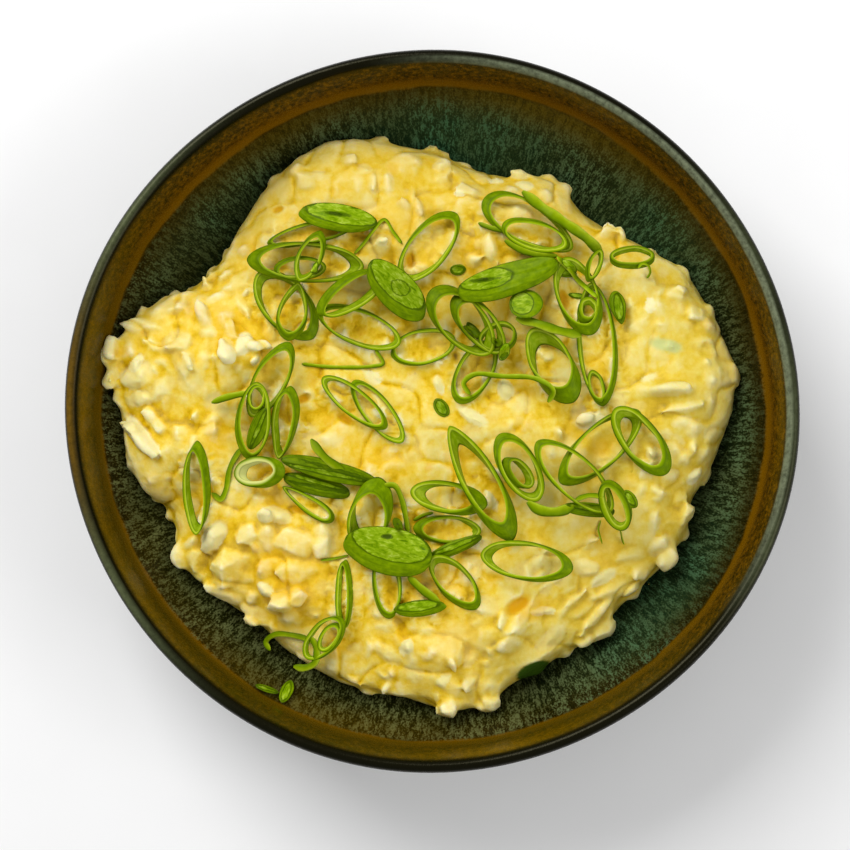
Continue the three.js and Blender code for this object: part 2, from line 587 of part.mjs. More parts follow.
function highest([x, y], reach) {
  const ci = (x + MAP_HALF) / MAP_CELL - 0.5;
  const cj = (y + MAP_HALF) / MAP_CELL - 0.5;
  const span = reach / MAP_CELL + 0.7;
  let top = 0;
  for (let i = Math.ceil(ci - span); i <= ci + span; i++) {
    for (let j = Math.ceil(cj - span); j <= cj + span; j++) {
      if (Math.hypot(i - ci, j - cj) <= span) {
        top = Math.max(top, surface[i * MAP_SIDE + j]);
      }
    }
  }
  return top;
}

// Solids of pieces that lie as one. Their heights clear everything within reach of each place
// and never rise too steeply.
function laidSolids(pieces) {
  const places = pieces.flatMap((piece) => piece.places);
  const slope = pieces.length > 1 ? STUCK_SLOPE : (pieces[0].slope ?? DRAPE_SLOPE);
  const free = pieces.flatMap((piece) =>
    piece.places.map((place) => highest(place, piece.reach) + GAP),
  );
  const heights = places.map((p) =>
    Math.max(...places.map((q, j) => free[j] - slope * Math.hypot(p[0] - q[0], p[1] - q[1]))),
  );
  let used = 0;
  return pieces.map((piece) => {
    used += piece.places.length;
    return piece.solid(heights.slice(used - piece.places.length, used));
  });
}

function turnedTo([u, v], { at, turn }) {
  const angle = THREE.MathUtils.degToRad(turn);
  return [
    at[0] + u * Math.cos(angle) - v * Math.sin(angle),
    at[1] + u * Math.sin(angle) + v * Math.cos(angle),
  ];
}

// The outline of a slice in its own axes. It runs anticlockwise from the end that turn points to.
function outlinePoint(t, halfLength, halfWidth, { point = 0, skew = 0 }) {
  const across = Math.sin(t);
  return [
    halfLength * Math.cos(t),
    halfWidth * across * Math.pow(Math.abs(across), point) * (1 + skew * Math.cos(t)),
  ];
}

// The skin of a wide band stands higher than that of a narrow one.
function sliceThickness(lean) {
  return Math.max(ONION_THICKNESS, 0.5 + 0.42 * Math.hypot(...lean));
}

// The inside and outside corners of a cross-section, joined all the way round.
function loopSolid(sections) {
  const points = sections.flat();
  const faces = [];
  const n = sections.length;
  for (let i = 0; i < n; i++) {
    for (let k = 0; k < 4; k++) {
      const a = 4 * i + k;
      const b = 4 * i + ((k + 1) % 4);
      const c = 4 * ((i + 1) % n) + k;
      const d = 4 * ((i + 1) % n) + ((k + 1) % 4);
      faces.push([a, c, b], [b, c, d]);
    }
  }
  return solidFrom(points, faces);
}

function ringPiece(slice) {
  const { half, lean = [0, 0], wall = ONION_WALL } = slice;
  const count = half[0] > 15 ? 14 : half[0] > 7 ? 12 : 10;
  const thickness = sliceThickness(lean);
  const a = half[0] - Math.abs(lean[0]) / 2;
  const b = half[1] - Math.abs(lean[1]) / 2;
  const shifted = (t, inset, side) => {
    const [u, v] = outlinePoint(t, a - inset, b - inset, slice);
    return turnedTo([u + (side * lean[0]) / 2, v + (side * lean[1]) / 2], slice);
  };
  const angles = Array.from({ length: count }, (_, i) => (2 * Math.PI * i) / count);
  const middles = angles.map((t) => shifted(t, wall / 2, 0));
  const longest = Math.max(
    ...middles.map((p, i) => {
      const q = middles[(i + 1) % count];
      return Math.hypot(p[0] - q[0], p[1] - q[1]);
    }),
  );
  const reach = longest * 0.62 + wall / 2 + Math.hypot(...lean) / 2;
  const solid = (heights) =>
    loopSolid(
      angles.map((t, i) => [
        [...shifted(t, 0, -1), heights[i] + thickness],
        [...shifted(t, wall, -1), heights[i] + thickness],
        [...shifted(t, wall, 1), heights[i]],
        [...shifted(t, 0, 1), heights[i]],
      ]),
    );
  return { places: middles, reach, solid };
}

// A thin body with three corners across, closed to a corner at each end.
function slabSolid(rows, ends) {
  const points = [];
  rows.forEach(({ top, under }) => points.push(...top, ...under));
  const first = points.push(ends[0]) - 1;
  const last = points.push(ends[1]) - 1;
  const faces = [];
  const across = rows[0].top.length;
  const up = (i, k) => 2 * across * i + k;
  const down = (i, k) => 2 * across * i + across + k;
  const rim = (i) => [
    ...Array.from({ length: across }, (_, k) => up(i, k)),
    ...Array.from({ length: across }, (_, k) => down(i, across - 1 - k)),
  ];
  for (let i = 0; i + 1 < rows.length; i++) {
    const here = rim(i);
    const next = rim(i + 1);
    here.forEach((a, k) => {
      const b = here[(k + 1) % here.length];
      const c = next[k];
      const d = next[(k + 1) % next.length];
      faces.push([a, c, b], [b, c, d]);
    });
  }
  const opening = rim(0);
  const closing = rim(rows.length - 1);
  opening.forEach((a, k) => {
    faces.push([first, a, opening[(k + 1) % opening.length]]);
    faces.push([last, closing[(k + 1) % closing.length], closing[k]]);
  });
  return solidFrom(points, faces);
}

function leafPiece(slice) {
  const { half, lean = [0, 0], slope } = slice;
  const count = half[0] > 10 ? 6 : half[0] > 6 ? 4 : 3;
  const edge = half[0] > 6 ? 0.75 : 0.6;
  const a = half[0] - Math.abs(lean[0]) / 2;
  const b = half[1] - Math.abs(lean[1]) / 2;
  const thickness = Math.max(edge, 0.5 * Math.hypot(...lean));
  const angles = Array.from({ length: count }, (_, i) => Math.PI - (Math.PI * (i + 1)) / (count + 1));
  const places = [];
  angles.forEach((t) => {
    const [u, v] = outlinePoint(t, a, b, slice);
    [-1, 0, 1].forEach((side) => places.push([u, side * v]));
  });
  places.push([-a, 0], [a, 0]);
  const laid = places.map(([u, v]) => turnedTo([u, v], slice));
  const step = Math.max((2.2 * a) / (count + 1), b);
  const reach = slice.reach ?? step * 0.55 + Math.hypot(...lean) / 2;
  const solid = (heights) => {
    const corner = (i, side, height) => {
      const [u, v] = places[i];
      const place = turnedTo([u + (side * lean[0]) / 2, v + (side * lean[1]) / 2], slice);
      return [...place, heights[i] + height];
    };
    const rows = angles.map((_, i) => ({
      top: [0, 1, 2].map((k) => corner(3 * i + k, -1, k === 1 ? thickness + 0.35 : thickness)),
      under: [0, 1, 2].map((k) => corner(3 * i + k, 1, 0)),
    }));
    const tips = [places.length - 2, places.length - 1].map((i) => corner(i, 0, thickness / 2));
    return slabSolid(rows, tips);
  };
  return { places: laid, reach, slope, solid };
}

// A ribbon along a smooth line, narrowed at both ends.
function stripPiece({ line, width }, close = false) {
  const curve = new THREE.CatmullRomCurve3(line.map(([x, y]) => new THREE.Vector3(x, y, 0)));
  const length = curve.getLength();
  const count = Math.max(4, Math.min(9, Math.round(length / (close ? 2.6 : 3.2))));
  const height = Math.min(ONION_THICKNESS, 0.5 + 0.4 * width);
  const shares = Array.from({ length: count }, (_, i) => i / (count - 1));
  const places = shares.map((share) => curve.getPointAt(share).toArray().slice(0, 2));
  const reach = close ? width / 2 : (length / (count - 1)) * 0.55 + width / 2;
  const solid = (heights) => {
    const rows = shares.slice(1, -1).map((share, n) => {
      const i = n + 1;
      const ahead = curve.getTangentAt(share);
      const narrow = i === 1 || i === count - 2 ? 0.8 : 1;
      const side = (k) => [
        places[i][0] - (k * ahead.y * width * narrow) / 2,
        places[i][1] + (k * ahead.x * width * narrow) / 2,
      ];
      return {
        top: [-1, 1].map((k) => [...side(k), heights[i] + height]),
        under: [-1, 1].map((k) => [...side(k), heights[i]]),
      };
    });
    const tips = [0, count - 1].map((i) => [...places[i], heights[i] + height / 2]);
    return slabSolid(rows, tips);
  };
  return { places, reach, slope: close ? CLING_SLOPE : DRAPE_SLOPE, solid };
}

const group = new THREE.Group();

function material(color, roughness) {
  return new THREE.MeshStandardMaterial({ color, roughness, metalness: 0 });
}

const glaze = material(0x2b2f1a, 0.25);
const egg = material(0xe8cf72, 0.45);
const onion = material(0x6f9a1c, 0.4);

function addMesh(name, solid, look) {
  const mesh = solid.getMesh();
  const geometry = new THREE.BufferGeometry();
  geometry.setAttribute("position", new THREE.BufferAttribute(mesh.vertProperties, 3));
  geometry.setIndex(new THREE.BufferAttribute(mesh.triVerts, 1));
  geometry.computeVertexNormals();
  const made = new THREE.Mesh(geometry, look);
  made.name = name;
  group.add(made);
}

const bowl = bowlSolid();
addMesh("bowl", bowl, glaze);
stamp(bowl);

// The bits and the short shreds are fused to the egg they lie on.
const heap = heapSolid();
stamp(heap);
const shreds = ["b1", "e7", "f1", "l6"].map((key) => stripPiece(STRIPS[key], true));
const bits = BITS.map(([x, y, halfLength, halfWidth, turn]) =>
  leafPiece({ at: [x, y], half: [halfLength, halfWidth], turn, reach: 1, slope: CLING_SLOPE }),
);
const onEgg = [...shreds, ...bits].flatMap((piece) => laidSolids([piece]));
const pressed = onEgg.map((solid) => solid.translate([0, 0, -SHRED_SINK]));
const joined = wasm.Manifold.union([heap, ...pressed]).asOriginal();
const eggSpread = joined.simplify(EGG_TOLERANCE);
addMesh("egg_spread", eggSpread, egg);
stamp(eggSpread);

const LAYERS = [
  "m1", "m2", "a2", "a6", "a7", "a3", "a5", "a1",
  "b2", "b5", "b4", "b3", "b3b",
  "c2", "c3", "c4", "d2",
  "d8", "d9", "d1", "d4", "d5", "d7", "c10",
  "g1", "g2", "c9", "c8a", "c7",
  "e1", "e3", "e2", "e6", "e8e", "e8b", "e8a", "e5",
  "f2b", "f2a", "f6",
  "k6", "g6", "k8", "g3", "g4",
  "h3", "h7", "h1", "h4", "h5",
  "k1", "k2", "k5", "k3", "j1", "l1", "k9",
];

function slicePiece(key) {
  if (RINGS[key]) {
    return ringPiece(RINGS[key]);
  }
  return LEAVES[key] ? leafPiece(LEAVES[key]) : stripPiece(STRIPS[key]);
}

function kindOf(key) {
  if (RINGS[key]) {
    return "ring";
  }
  return LEAVES[key] ? "leaf" : "strip";
}

LAYERS.forEach((key) => {
  const pieces = [key, ...(STUCK[key] ?? [])].map(slicePiece);
  const slice = wasm.Manifold.union(laidSolids(pieces));
  addMesh("onion_" + kindOf(key) + "_" + key, slice, onion);
  stamp(slice);
});

export default group;
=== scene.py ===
"""An egg spread in a dark glazed bowl with sliced spring onion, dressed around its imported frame."""

import math

import bmesh
import bpy
import numpy as np
from mathutils import Matrix, Vector
from mathutils.bvhtree import BVHTree
from mathutils.kdtree import KDTree


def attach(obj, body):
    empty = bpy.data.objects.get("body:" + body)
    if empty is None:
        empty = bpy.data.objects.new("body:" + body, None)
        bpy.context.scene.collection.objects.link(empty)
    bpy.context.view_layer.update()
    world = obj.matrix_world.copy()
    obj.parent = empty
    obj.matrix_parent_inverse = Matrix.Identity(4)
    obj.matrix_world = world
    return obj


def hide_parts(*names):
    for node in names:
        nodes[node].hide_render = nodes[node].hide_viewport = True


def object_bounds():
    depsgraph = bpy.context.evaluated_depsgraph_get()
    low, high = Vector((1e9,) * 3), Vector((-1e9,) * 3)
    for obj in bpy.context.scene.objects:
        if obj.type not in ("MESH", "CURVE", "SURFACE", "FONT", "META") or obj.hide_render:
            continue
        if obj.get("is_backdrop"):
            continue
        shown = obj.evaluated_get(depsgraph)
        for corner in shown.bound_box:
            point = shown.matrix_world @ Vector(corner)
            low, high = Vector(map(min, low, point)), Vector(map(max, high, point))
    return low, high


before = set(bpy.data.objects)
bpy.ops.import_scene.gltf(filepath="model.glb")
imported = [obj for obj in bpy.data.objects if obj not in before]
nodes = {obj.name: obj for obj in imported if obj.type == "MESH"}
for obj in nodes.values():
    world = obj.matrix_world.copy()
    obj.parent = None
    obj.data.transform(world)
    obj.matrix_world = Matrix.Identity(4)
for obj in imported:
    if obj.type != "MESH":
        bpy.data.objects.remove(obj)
cad_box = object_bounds()
scene = bpy.context.scene

MM = 0.001
UP = Vector((0, 0, 1))
DOWN = Vector((0, 0, -1))
# Lines of sight straight down start at this height, in metres.
ABOVE = 0.1


# Repeatable fields

WORD = 0xFFFFFFFF
# Odd numbers that scatter the bits of a whole number.
CELL_SCATTER = (73856093, 19349663, 83492791)
SEED_SCATTER = 2654435761
FIRST_SCATTER = 0x45D9F3B
SECOND_SCATTER = 0x2C1B3C6D
CELL_CORNERS = [(x, y, z) for x in (0, 1) for y in (0, 1) for z in (0, 1)]
NEXT_CELLS = [(x, y, z) for x in (-1, 0, 1) for y in (-1, 0, 1) for z in (-1, 0, 1)]


def hashed(cells, seed, count):
    """Repeatable numbers from 0 to 1 for each whole-number cell."""
    x, y, z = (cells.astype(np.int64) & WORD).T
    state = (x * CELL_SCATTER[0]) ^ (y * CELL_SCATTER[1]) ^ (z * CELL_SCATTER[2]) ^ (seed * SEED_SCATTER)
    mask = np.uint64(WORD)
    state = state.astype(np.uint64) & mask
    out = []
    for k in range(count):
        state = (state ^ (state >> np.uint64(16))) * np.uint64(FIRST_SCATTER + 2 * k) & mask
        state = (state ^ (state >> np.uint64(15))) * np.uint64(SECOND_SCATTER) & mask
        state = state ^ (state >> np.uint64(14))
        out.append(state.astype(float) / WORD)
    return out


def soft_noise(points, pitch, seed):
    """Smooth noise from -1 to 1 that changes over about one pitch."""
    p = points / pitch + 1000.0
    base = np.floor(p)
    f = p - base
    f = f * f * f * (f * (f * 6 - 15) + 10)
    total = np.zeros(len(p))
    for corner in CELL_CORNERS:
        x, y, z = np.where(corner, f, 1 - f).T
        total += x * y * z * hashed(base + corner, seed, 1)[0]
    return 2 * total - 1


def warped(points, pitch, amount, seed):
    return points + amount * np.stack([soft_noise(points, pitch, seed + k) for k in range(3)], 1)


def mounds(points, pitch, seed):
    """Rounded mounds with creases between them, from 0 to 1."""
    base = np.floor(points / pitch)
    best = np.zeros(len(points))
    for step in NEXT_CELLS:
        cell = base + step
        jx, jy, jz, size, share = hashed(cell, seed, 5)
        centre = (cell + 0.15 + 0.7 * np.stack([jx, jy, jz], 1)) * pitch
        away = np.linalg.norm(points - centre, axis=1) / (pitch * (0.62 + 0.4 * size))
        best = np.maximum(best, (0.5 + 0.5 * share) * (1 - away**2))
    return np.minimum(best, 1)


def smooth_step(value, low, high):
    t = np.clip((value - low) / (high - low), 0, 1)
    return t * t * (3 - 2 * t)


def oval_distance(x, y, oval):
    """How far out from an oval's middle a place is: 1 at the outline.
    oval: [x, y, half length, half width, turn]."""
    middle_x, middle_y, half_length, half_width, turn = oval
    c, s = math.cos(math.radians(turn)), math.sin(math.radians(turn))
    dx, dy = x - middle_x, y - middle_y
    return np.hypot((dx * c + dy * s) / half_length, (-dx * s + dy * c) / half_width)


def spots(points, ovals):
    """How far each point lies inside any of the ovals: 1 at the middle, 0 at the outline, less outside."""
    best = np.full(len(points), -9.0)
    for oval in ovals:
        best = np.maximum(best, 1 - oval_distance(points[:, 0], points[:, 1], oval))
    return best


def inside_oval(x, y, oval):
    """Distance in millimetres into an oval."""
    return (1 - oval_distance(x, y, oval)) * min(oval[2:4])


# Meshes. Points are in millimetres, and in metres once they are in a mesh.


def new_object(name, data):
    made = bpy.data.objects.new(name, data)
    scene.collection.objects.link(made)
    return made


def new_mesh(name, points, faces):
    mesh = bpy.data.meshes.new(name)
    mesh.from_pydata([tuple(p) for p in points], [], [tuple(map(int, f)) for f in faces])
    return mesh


def shown_mesh(name, points, faces):
    mesh = new_mesh(name, np.array(points) * MM, faces)
    mesh.validate()
    shade_smooth(mesh)
    return new_object(name, mesh)


def shade_smooth(mesh):
    mesh.polygons.foreach_set("use_smooth", [True] * len(mesh.polygons))


def add_attribute(mesh, name, values, kind="FLOAT"):
    layer = mesh.attributes.new(name, kind, "POINT")
    key = "value" if kind == "FLOAT" else "vector"
    layer.data.foreach_set(key, np.asarray(values, np.float32).ravel())


def coordinates(mesh, field="co"):
    out = np.empty(len(mesh.vertices) * 3, np.float32)
    mesh.vertices.foreach_get(field, out)
    return out.reshape(-1, 3).astype(float)


def set_points(mesh, p):
    mesh.vertices.foreach_set("co", (p * MM).astype(np.float32).ravel())
    mesh.update()


def edge_pairs(mesh):
    """The two ends of every edge, and how many edges meet at each point."""
    edges = np.empty(len(mesh.edges) * 2, np.int32)
    mesh.edges.foreach_get("vertices", edges)
    return edges.reshape(-1, 2), np.bincount(edges, minlength=len(mesh.vertices)).astype(float)


def calmed(values, edges, count, rounds, share):
    """Values drawn towards the mean of their neighbours by a share, round after round."""
    a, b = edges.T
    out = values.copy()
    for _ in range(rounds):
        sums = [np.bincount(a, v[b], len(v)) + np.bincount(b, v[a], len(v)) for v in out.T]
        out += share * (np.stack(sums, 1) / count[:, None] - out)
    return out


def spread(values, edges, rounds, keep):
    """Values carried outwards along the edges, fading by a share on each."""
    a, b = edges.T
    out = values.copy()
    for _ in range(rounds):
        faded = out * keep
        np.maximum.at(out, a, faded[b])
        np.maximum.at(out, b, faded[a])
    return out


def relaxed(mesh, rounds):
    p = calmed(coordinates(mesh) / MM, *edge_pairs(mesh), rounds, 0.5)
    set_points(mesh, p)
    return p


def modified(mesh, kind, **settings):
    """What one modifier makes of a mesh."""
    holder = new_object("work", mesh)
    modifier = holder.modifiers.new("only", kind)
    for key, value in settings.items():
        setattr(modifier, key, value)
    graph = bpy.context.evaluated_depsgraph_get()
    made = bpy.data.meshes.new_from_object(holder.evaluated_get(graph))
    bpy.data.objects.remove(holder)
    return made


def read_out(work):
    """Points and faces of a working mesh, which is then freed."""
    work.verts.index_update()
    points = np.array([v.co[:] for v in work.verts])
    faces = [tuple(v.index for v in f.verts) for f in work.faces]
    work.free()
    return points, faces


def turned_out(points, faces):
    """The faces of a closed body, turned outwards by the sign of its volume."""
    p = np.array(points)
    total = 0.0
    for f in faces:
        for k in range(1, len(f) - 1):
            total += np.dot(p[f[0]], np.cross(p[f[k]], p[f[k + 1]]))
    return faces if total > 0 else [tuple(reversed(f)) for f in faces]


def capped_rings(rings, count):
    """Faces of a body made of rings of points. Its first and last point are the middles of its ends."""
    at = lambda i, j: 1 + i * count + j % count
    last = rings * count + 1
    faces = []
    for j in range(count):
        faces.append((0, at(0, j), at(0, j + 1)))
        faces += [(at(i, j), at(i + 1, j), at(i + 1, j + 1), at(i, j + 1)) for i in range(rings - 1)]
        faces.append((last, at(rings - 1, j + 1), at(rings - 1, j)))
    return faces


def carried(count, section, closed):
    """Faces between a cross-section and its next copy, over so many copies along a line or round a ring."""
    at = lambda i, k: i % count * section + k % section
    return [
        (at(i, k), at(i + 1, k), at(i + 1, k + 1), at(i, k + 1))
        for i in range(count if closed else count - 1) for k in range(section)
    ]


def tree_of(objects):
    points, faces = [], []
    for made in objects:
        shift = len(points)
        points += [v.co.copy() for v in made.data.vertices]
        faces += [tuple(i + shift for i in f.vertices) for f in made.data.polygons]
    return BVHTree.FromPolygons(points, faces)


def seen_from_above(tree, x, y):
    """Where a line straight down at a place first meets a solid and how that faces, or nothing."""
    place, facing, _, _ = tree.ray_cast(Vector((x * MM, y * MM, ABOVE)), DOWN, 2 * ABOVE)
    return None if place is None else (np.array(place) / MM, np.array(facing))


# Materials


def srgb(*colour):
    """A colour given as on a screen, from 0 to 255."""
    shares = [v / 255 for v in colour]
    return (*[v / 12.92 if v <= 0.04045 else ((v + 0.055) / 1.055) ** 2.4 for v in shares], 1.0)


class Nodes:
    """Short names for the nodes of one material. Where a share is wanted, an attribute's name will do."""

    def __init__(self, name):
        self.material = bpy.data.materials.new(name)
        self.material.use_nodes = True
        self.tree = self.material.node_tree
        self.shader = self.tree.nodes["Principled BSDF"]

    def add(self, kind, output, inputs, **settings):
        node = self.tree.nodes.new("ShaderNode" + kind)
        for key, value in settings.items():
            setattr(node, key, value)
        for key, value in inputs.items():
            self.fill(node.inputs[key], value)
        return node.outputs[output]

    def fill(self, socket, value):
        if isinstance(value, str):
            value = self.attribute(value)
        if isinstance(value, bpy.types.NodeSocket):
            self.tree.links.new(value, socket)
        else:
            socket.default_value = value

    def attribute(self, name, output="Fac"):
        return self.add("Attribute", output, {}, attribute_name=name)

    def place(self):
        return self.add("TexCoord", "Object", {})

    def noise(self, vector, scale, detail=2.0, roughness=0.5, distortion=0.0):
        inputs = {"Vector": vector, "Scale": scale, "Detail": detail, "Roughness": roughness}
        return self.add("TexNoise", "Fac", {**inputs, "Distortion": distortion})

    def scaled(self, vector, x, y, z):
        return self.add("VectorMath", "Vector", {0: vector, 1: (x, y, z)}, operation="MULTIPLY")

    def range(self, source, low, high, to_low=0.0, to_high=1.0):
        inputs = {"Value": source, "From Min": low, "From Max": high, "To Min": to_low, "To Max": to_high}
        return self.add("MapRange", "Result", inputs)

    def swing(self, noise, low, high):
        """A noise spread out so that most of it lies from low to high."""
        return self.range(noise, 0.3, 0.7, low, high)

    def math(self, operation, a, b):
        return self.add("Math", "Value", {0: a, 1: b}, operation=operation)

    def sum(self, a, b):
        return self.math("ADD", a, b)

    def times(self, out, *more):
        for share in more:
            out = self.math("MULTIPLY", out, share)
        return out

    def mix(self, factor, a, b):
        return self.add("Mix", 2, {"Factor": factor, 6: a, 7: b}, data_type="RGBA")

    def tint(self, colour, towards, *shares):
        """A colour drawn towards another one by the product of some shares."""
        return self.mix(self.times(*shares), colour, srgb(*towards))

    def ramp(self, source, stops):
        """A colour from stops of [place, red, green, blue]."""
        node = self.tree.nodes.new("ShaderNodeValToRGB")
        elements = node.color_ramp.elements
        elements.remove(elements[-1])
        elements[0].position = stops[0][0]
        elements[0].color = srgb(*stops[0][1:])
        for place, *colour in stops[1:]:
            elements.new(place).color = srgb(*colour)
        self.fill(node.inputs["Fac"], source)
        return node.outputs["Color"]

    def bump(self, height, strength, distance, **normal):
        inputs = {"Height": height, "Strength": strength, "Distance": distance}
        return self.add("Bump", "Normal", {**inputs, **normal})

    def finished(self, values):
        for name, value in values.items():
            self.fill(self.shader.inputs[name], value)
        return self.material


# Bowl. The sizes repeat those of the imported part, in millimetres.

BOWL_HALF_LENGTH = 100.2
BOWL_HALF_WIDTH = 98.6
BOWL_OVAL_TURN = math.radians(-11.5)
BOWL_RIM_SWELL = 0.35
FOOT_RADIUS = 39.0
BOWL_SEGMENTS = 288
PROFILE_STEP = 1.5
# Radius and height, from the middle of the floor over the lip and down to the foot.
INNER_WALL = [
    (0, 7), (34, 7.2), (50, 9.5), (62, 13.2), (72, 18), (80, 23.3), (86.5, 29),
    (91, 34.2), (93, 37.2), (94.4, 43), (96.8, 50.6), (98.4, 52),
]
OUTER_WALL = [
    (100.2, 50.6), (99.6, 45), (97.2, 37), (91, 26.5), (81, 17.5), (66, 9.5), (46, 4.4), (39.8, 3.4),
]
FOOT = [(39, 0), (34.5, 0), (33.5, 3), (0, 3)]
RING_ROW = 8
LIP_ROW = 11
# The way over the profile is stored as a share of this length.
RUN_LENGTH = 200
WRAP_RADIUS = 95
# Where the colours of the glaze, and the painted reflection on the lip, change round the bowl: middle, width
# and amount by angle.
GLAZE_PLACES = {
    "teal": [(84, 26, 1.0), (40, 18, 0.75), (-38, 22, 0.9), (-5, 16, 0.35), (136, 22, 0.5)],
    "lip_reflection": [(150, 16, 0.9), (209, 15, 1.0), (26, 12, 0.35), (0, 14, 0.5), (-22, 9, 0.5)],
    "rust_lip": [(180, 15, 1.0)],
    "gold": [(185, 26, 1.0), (214, 14, 0.7), (0, 16, 0.6), (282, 15, 1.0), (62, 14, 0.4)],
    "brown": [(68, 26, 1.0), (116, 22, 0.6), (250, 26, 0.7)],
}
# Colours that take up a whole side, the olive glaze and the painted sky reflection: its angle, and where the
# cosine from it starts and ends.
GLAZE_SIDES = {"olive": (235, -0.3, 0.6), "sky_reflection": (32, 0.35, 0.8)}


def oval_factor(angle, radius):
    amount = smooth_step(np.asarray(radius, float), FOOT_RADIUS + 6, BOWL_HALF_LENGTH)
    mean = (BOWL_HALF_LENGTH + BOWL_HALF_WIDTH) / 2
    oval = (BOWL_HALF_LENGTH - BOWL_HALF_WIDTH) / 2 * np.cos(2 * (angle - BOWL_OVAL_TURN))
    swell = BOWL_RIM_SWELL * np.cos(4 * (angle - BOWL_OVAL_TURN))
    return 1 + amount * (mean - BOWL_HALF_LENGTH + oval + swell) / BOWL_HALF_LENGTH


def rounded_profile(rows, step):
    """A smooth line through the rows, with how far along it each point lies, and each row's own place."""
    rows = [np.array(r, float) for r in rows]
    line, run, marks = [rows[0]], [0.0], [0.0]
    for i in range(len(rows) - 1):
        a, b = rows[i], rows[i + 1]
        before, after = rows[max(i - 1, 0)], rows[min(i + 2, len(rows) - 1)]
        span = np.linalg.norm(b - a)
        # Slopes limited by the shorter span next to each row keep the line from swinging out.
        ta = (b - before) / max(np.linalg.norm(b - before), 1e-9) * span
        tb = (after - a) / max(np.linalg.norm(after - a), 1e-9) * span
        count = max(2, round(span / step))
        for t in [k / count for k in range(1, count + 1)]:
            p = (
                (2 * t**3 - 3 * t**2 + 1) * a + (t**3 - 2 * t**2 + t) * ta
                + (3 * t**2 - 2 * t**3) * b + (t**3 - t**2) * tb
            )
            run.append(run[-1] + np.linalg.norm(p - line[-1]))
            line.append(p)
        marks.append(run[-1])
    return np.array(line), np.array(run), marks


def around_places(turn, rows):
    """From 0 to 1 around the bowl."""
    out = np.zeros(len(turn))
    for middle, width, amount in rows:
        off = (turn - middle + 180) % 360 - 180
        out = np.maximum(out, amount * np.exp(-((off / width) ** 2)))
    return out


def make_bowl():
    wall, run, marks = rounded_profile(INNER_WALL + OUTER_WALL, PROFILE_STEP)
    foot = np.array(FOOT, float)
    foot_run = run[-1] + np.cumsum(np.linalg.norm(np.diff(np.vstack([wall[-1:], foot]), axis=0), axis=1))
    profile = np.vstack([wall, foot])
    run = np.concatenate([run, foot_run])
    rings = profile[1:-1]
    angles = np.arange(BOWL_SEGMENTS) * 2 * math.pi / BOWL_SEGMENTS
    radius = rings[:, :1] * oval_factor(angles[None, :], rings[:, :1])
    points = np.stack(
        [radius * np.cos(angles), radius * np.sin(angles), np.repeat(rings[:, 1:], BOWL_SEGMENTS, 1)], 2
    ).reshape(-1, 3)
    points = np.vstack([[0, 0, profile[0, 1]], points, [0, 0, profile[-1, 1]]])
    places = np.concatenate([[0], np.repeat(run[1:-1], BOWL_SEGMENTS), [run[-1]]])
    around = np.concatenate([[0], np.tile(angles, len(rings)), [0]])
    faces = capped_rings(len(rings), BOWL_SEGMENTS)
    made = shown_mesh("glazed_bowl", points, faces)
    add_attribute(made.data, "run", places / RUN_LENGTH)
    wrap = np.stack([np.cos(around) * WRAP_RADIUS, np.sin(around) * WRAP_RADIUS, places], 1)
    add_attribute(made.data, "wrap", wrap, "FLOAT_VECTOR")
    turn = np.degrees(around)
    for name, rows in GLAZE_PLACES.items():
        add_attribute(made.data, name, around_places(turn, rows))
    for name, (middle, low, high) in GLAZE_SIDES.items():
        add_attribute(made.data, name, smooth_step(np.cos(np.radians(turn - middle)), low, high))
    return made, marks


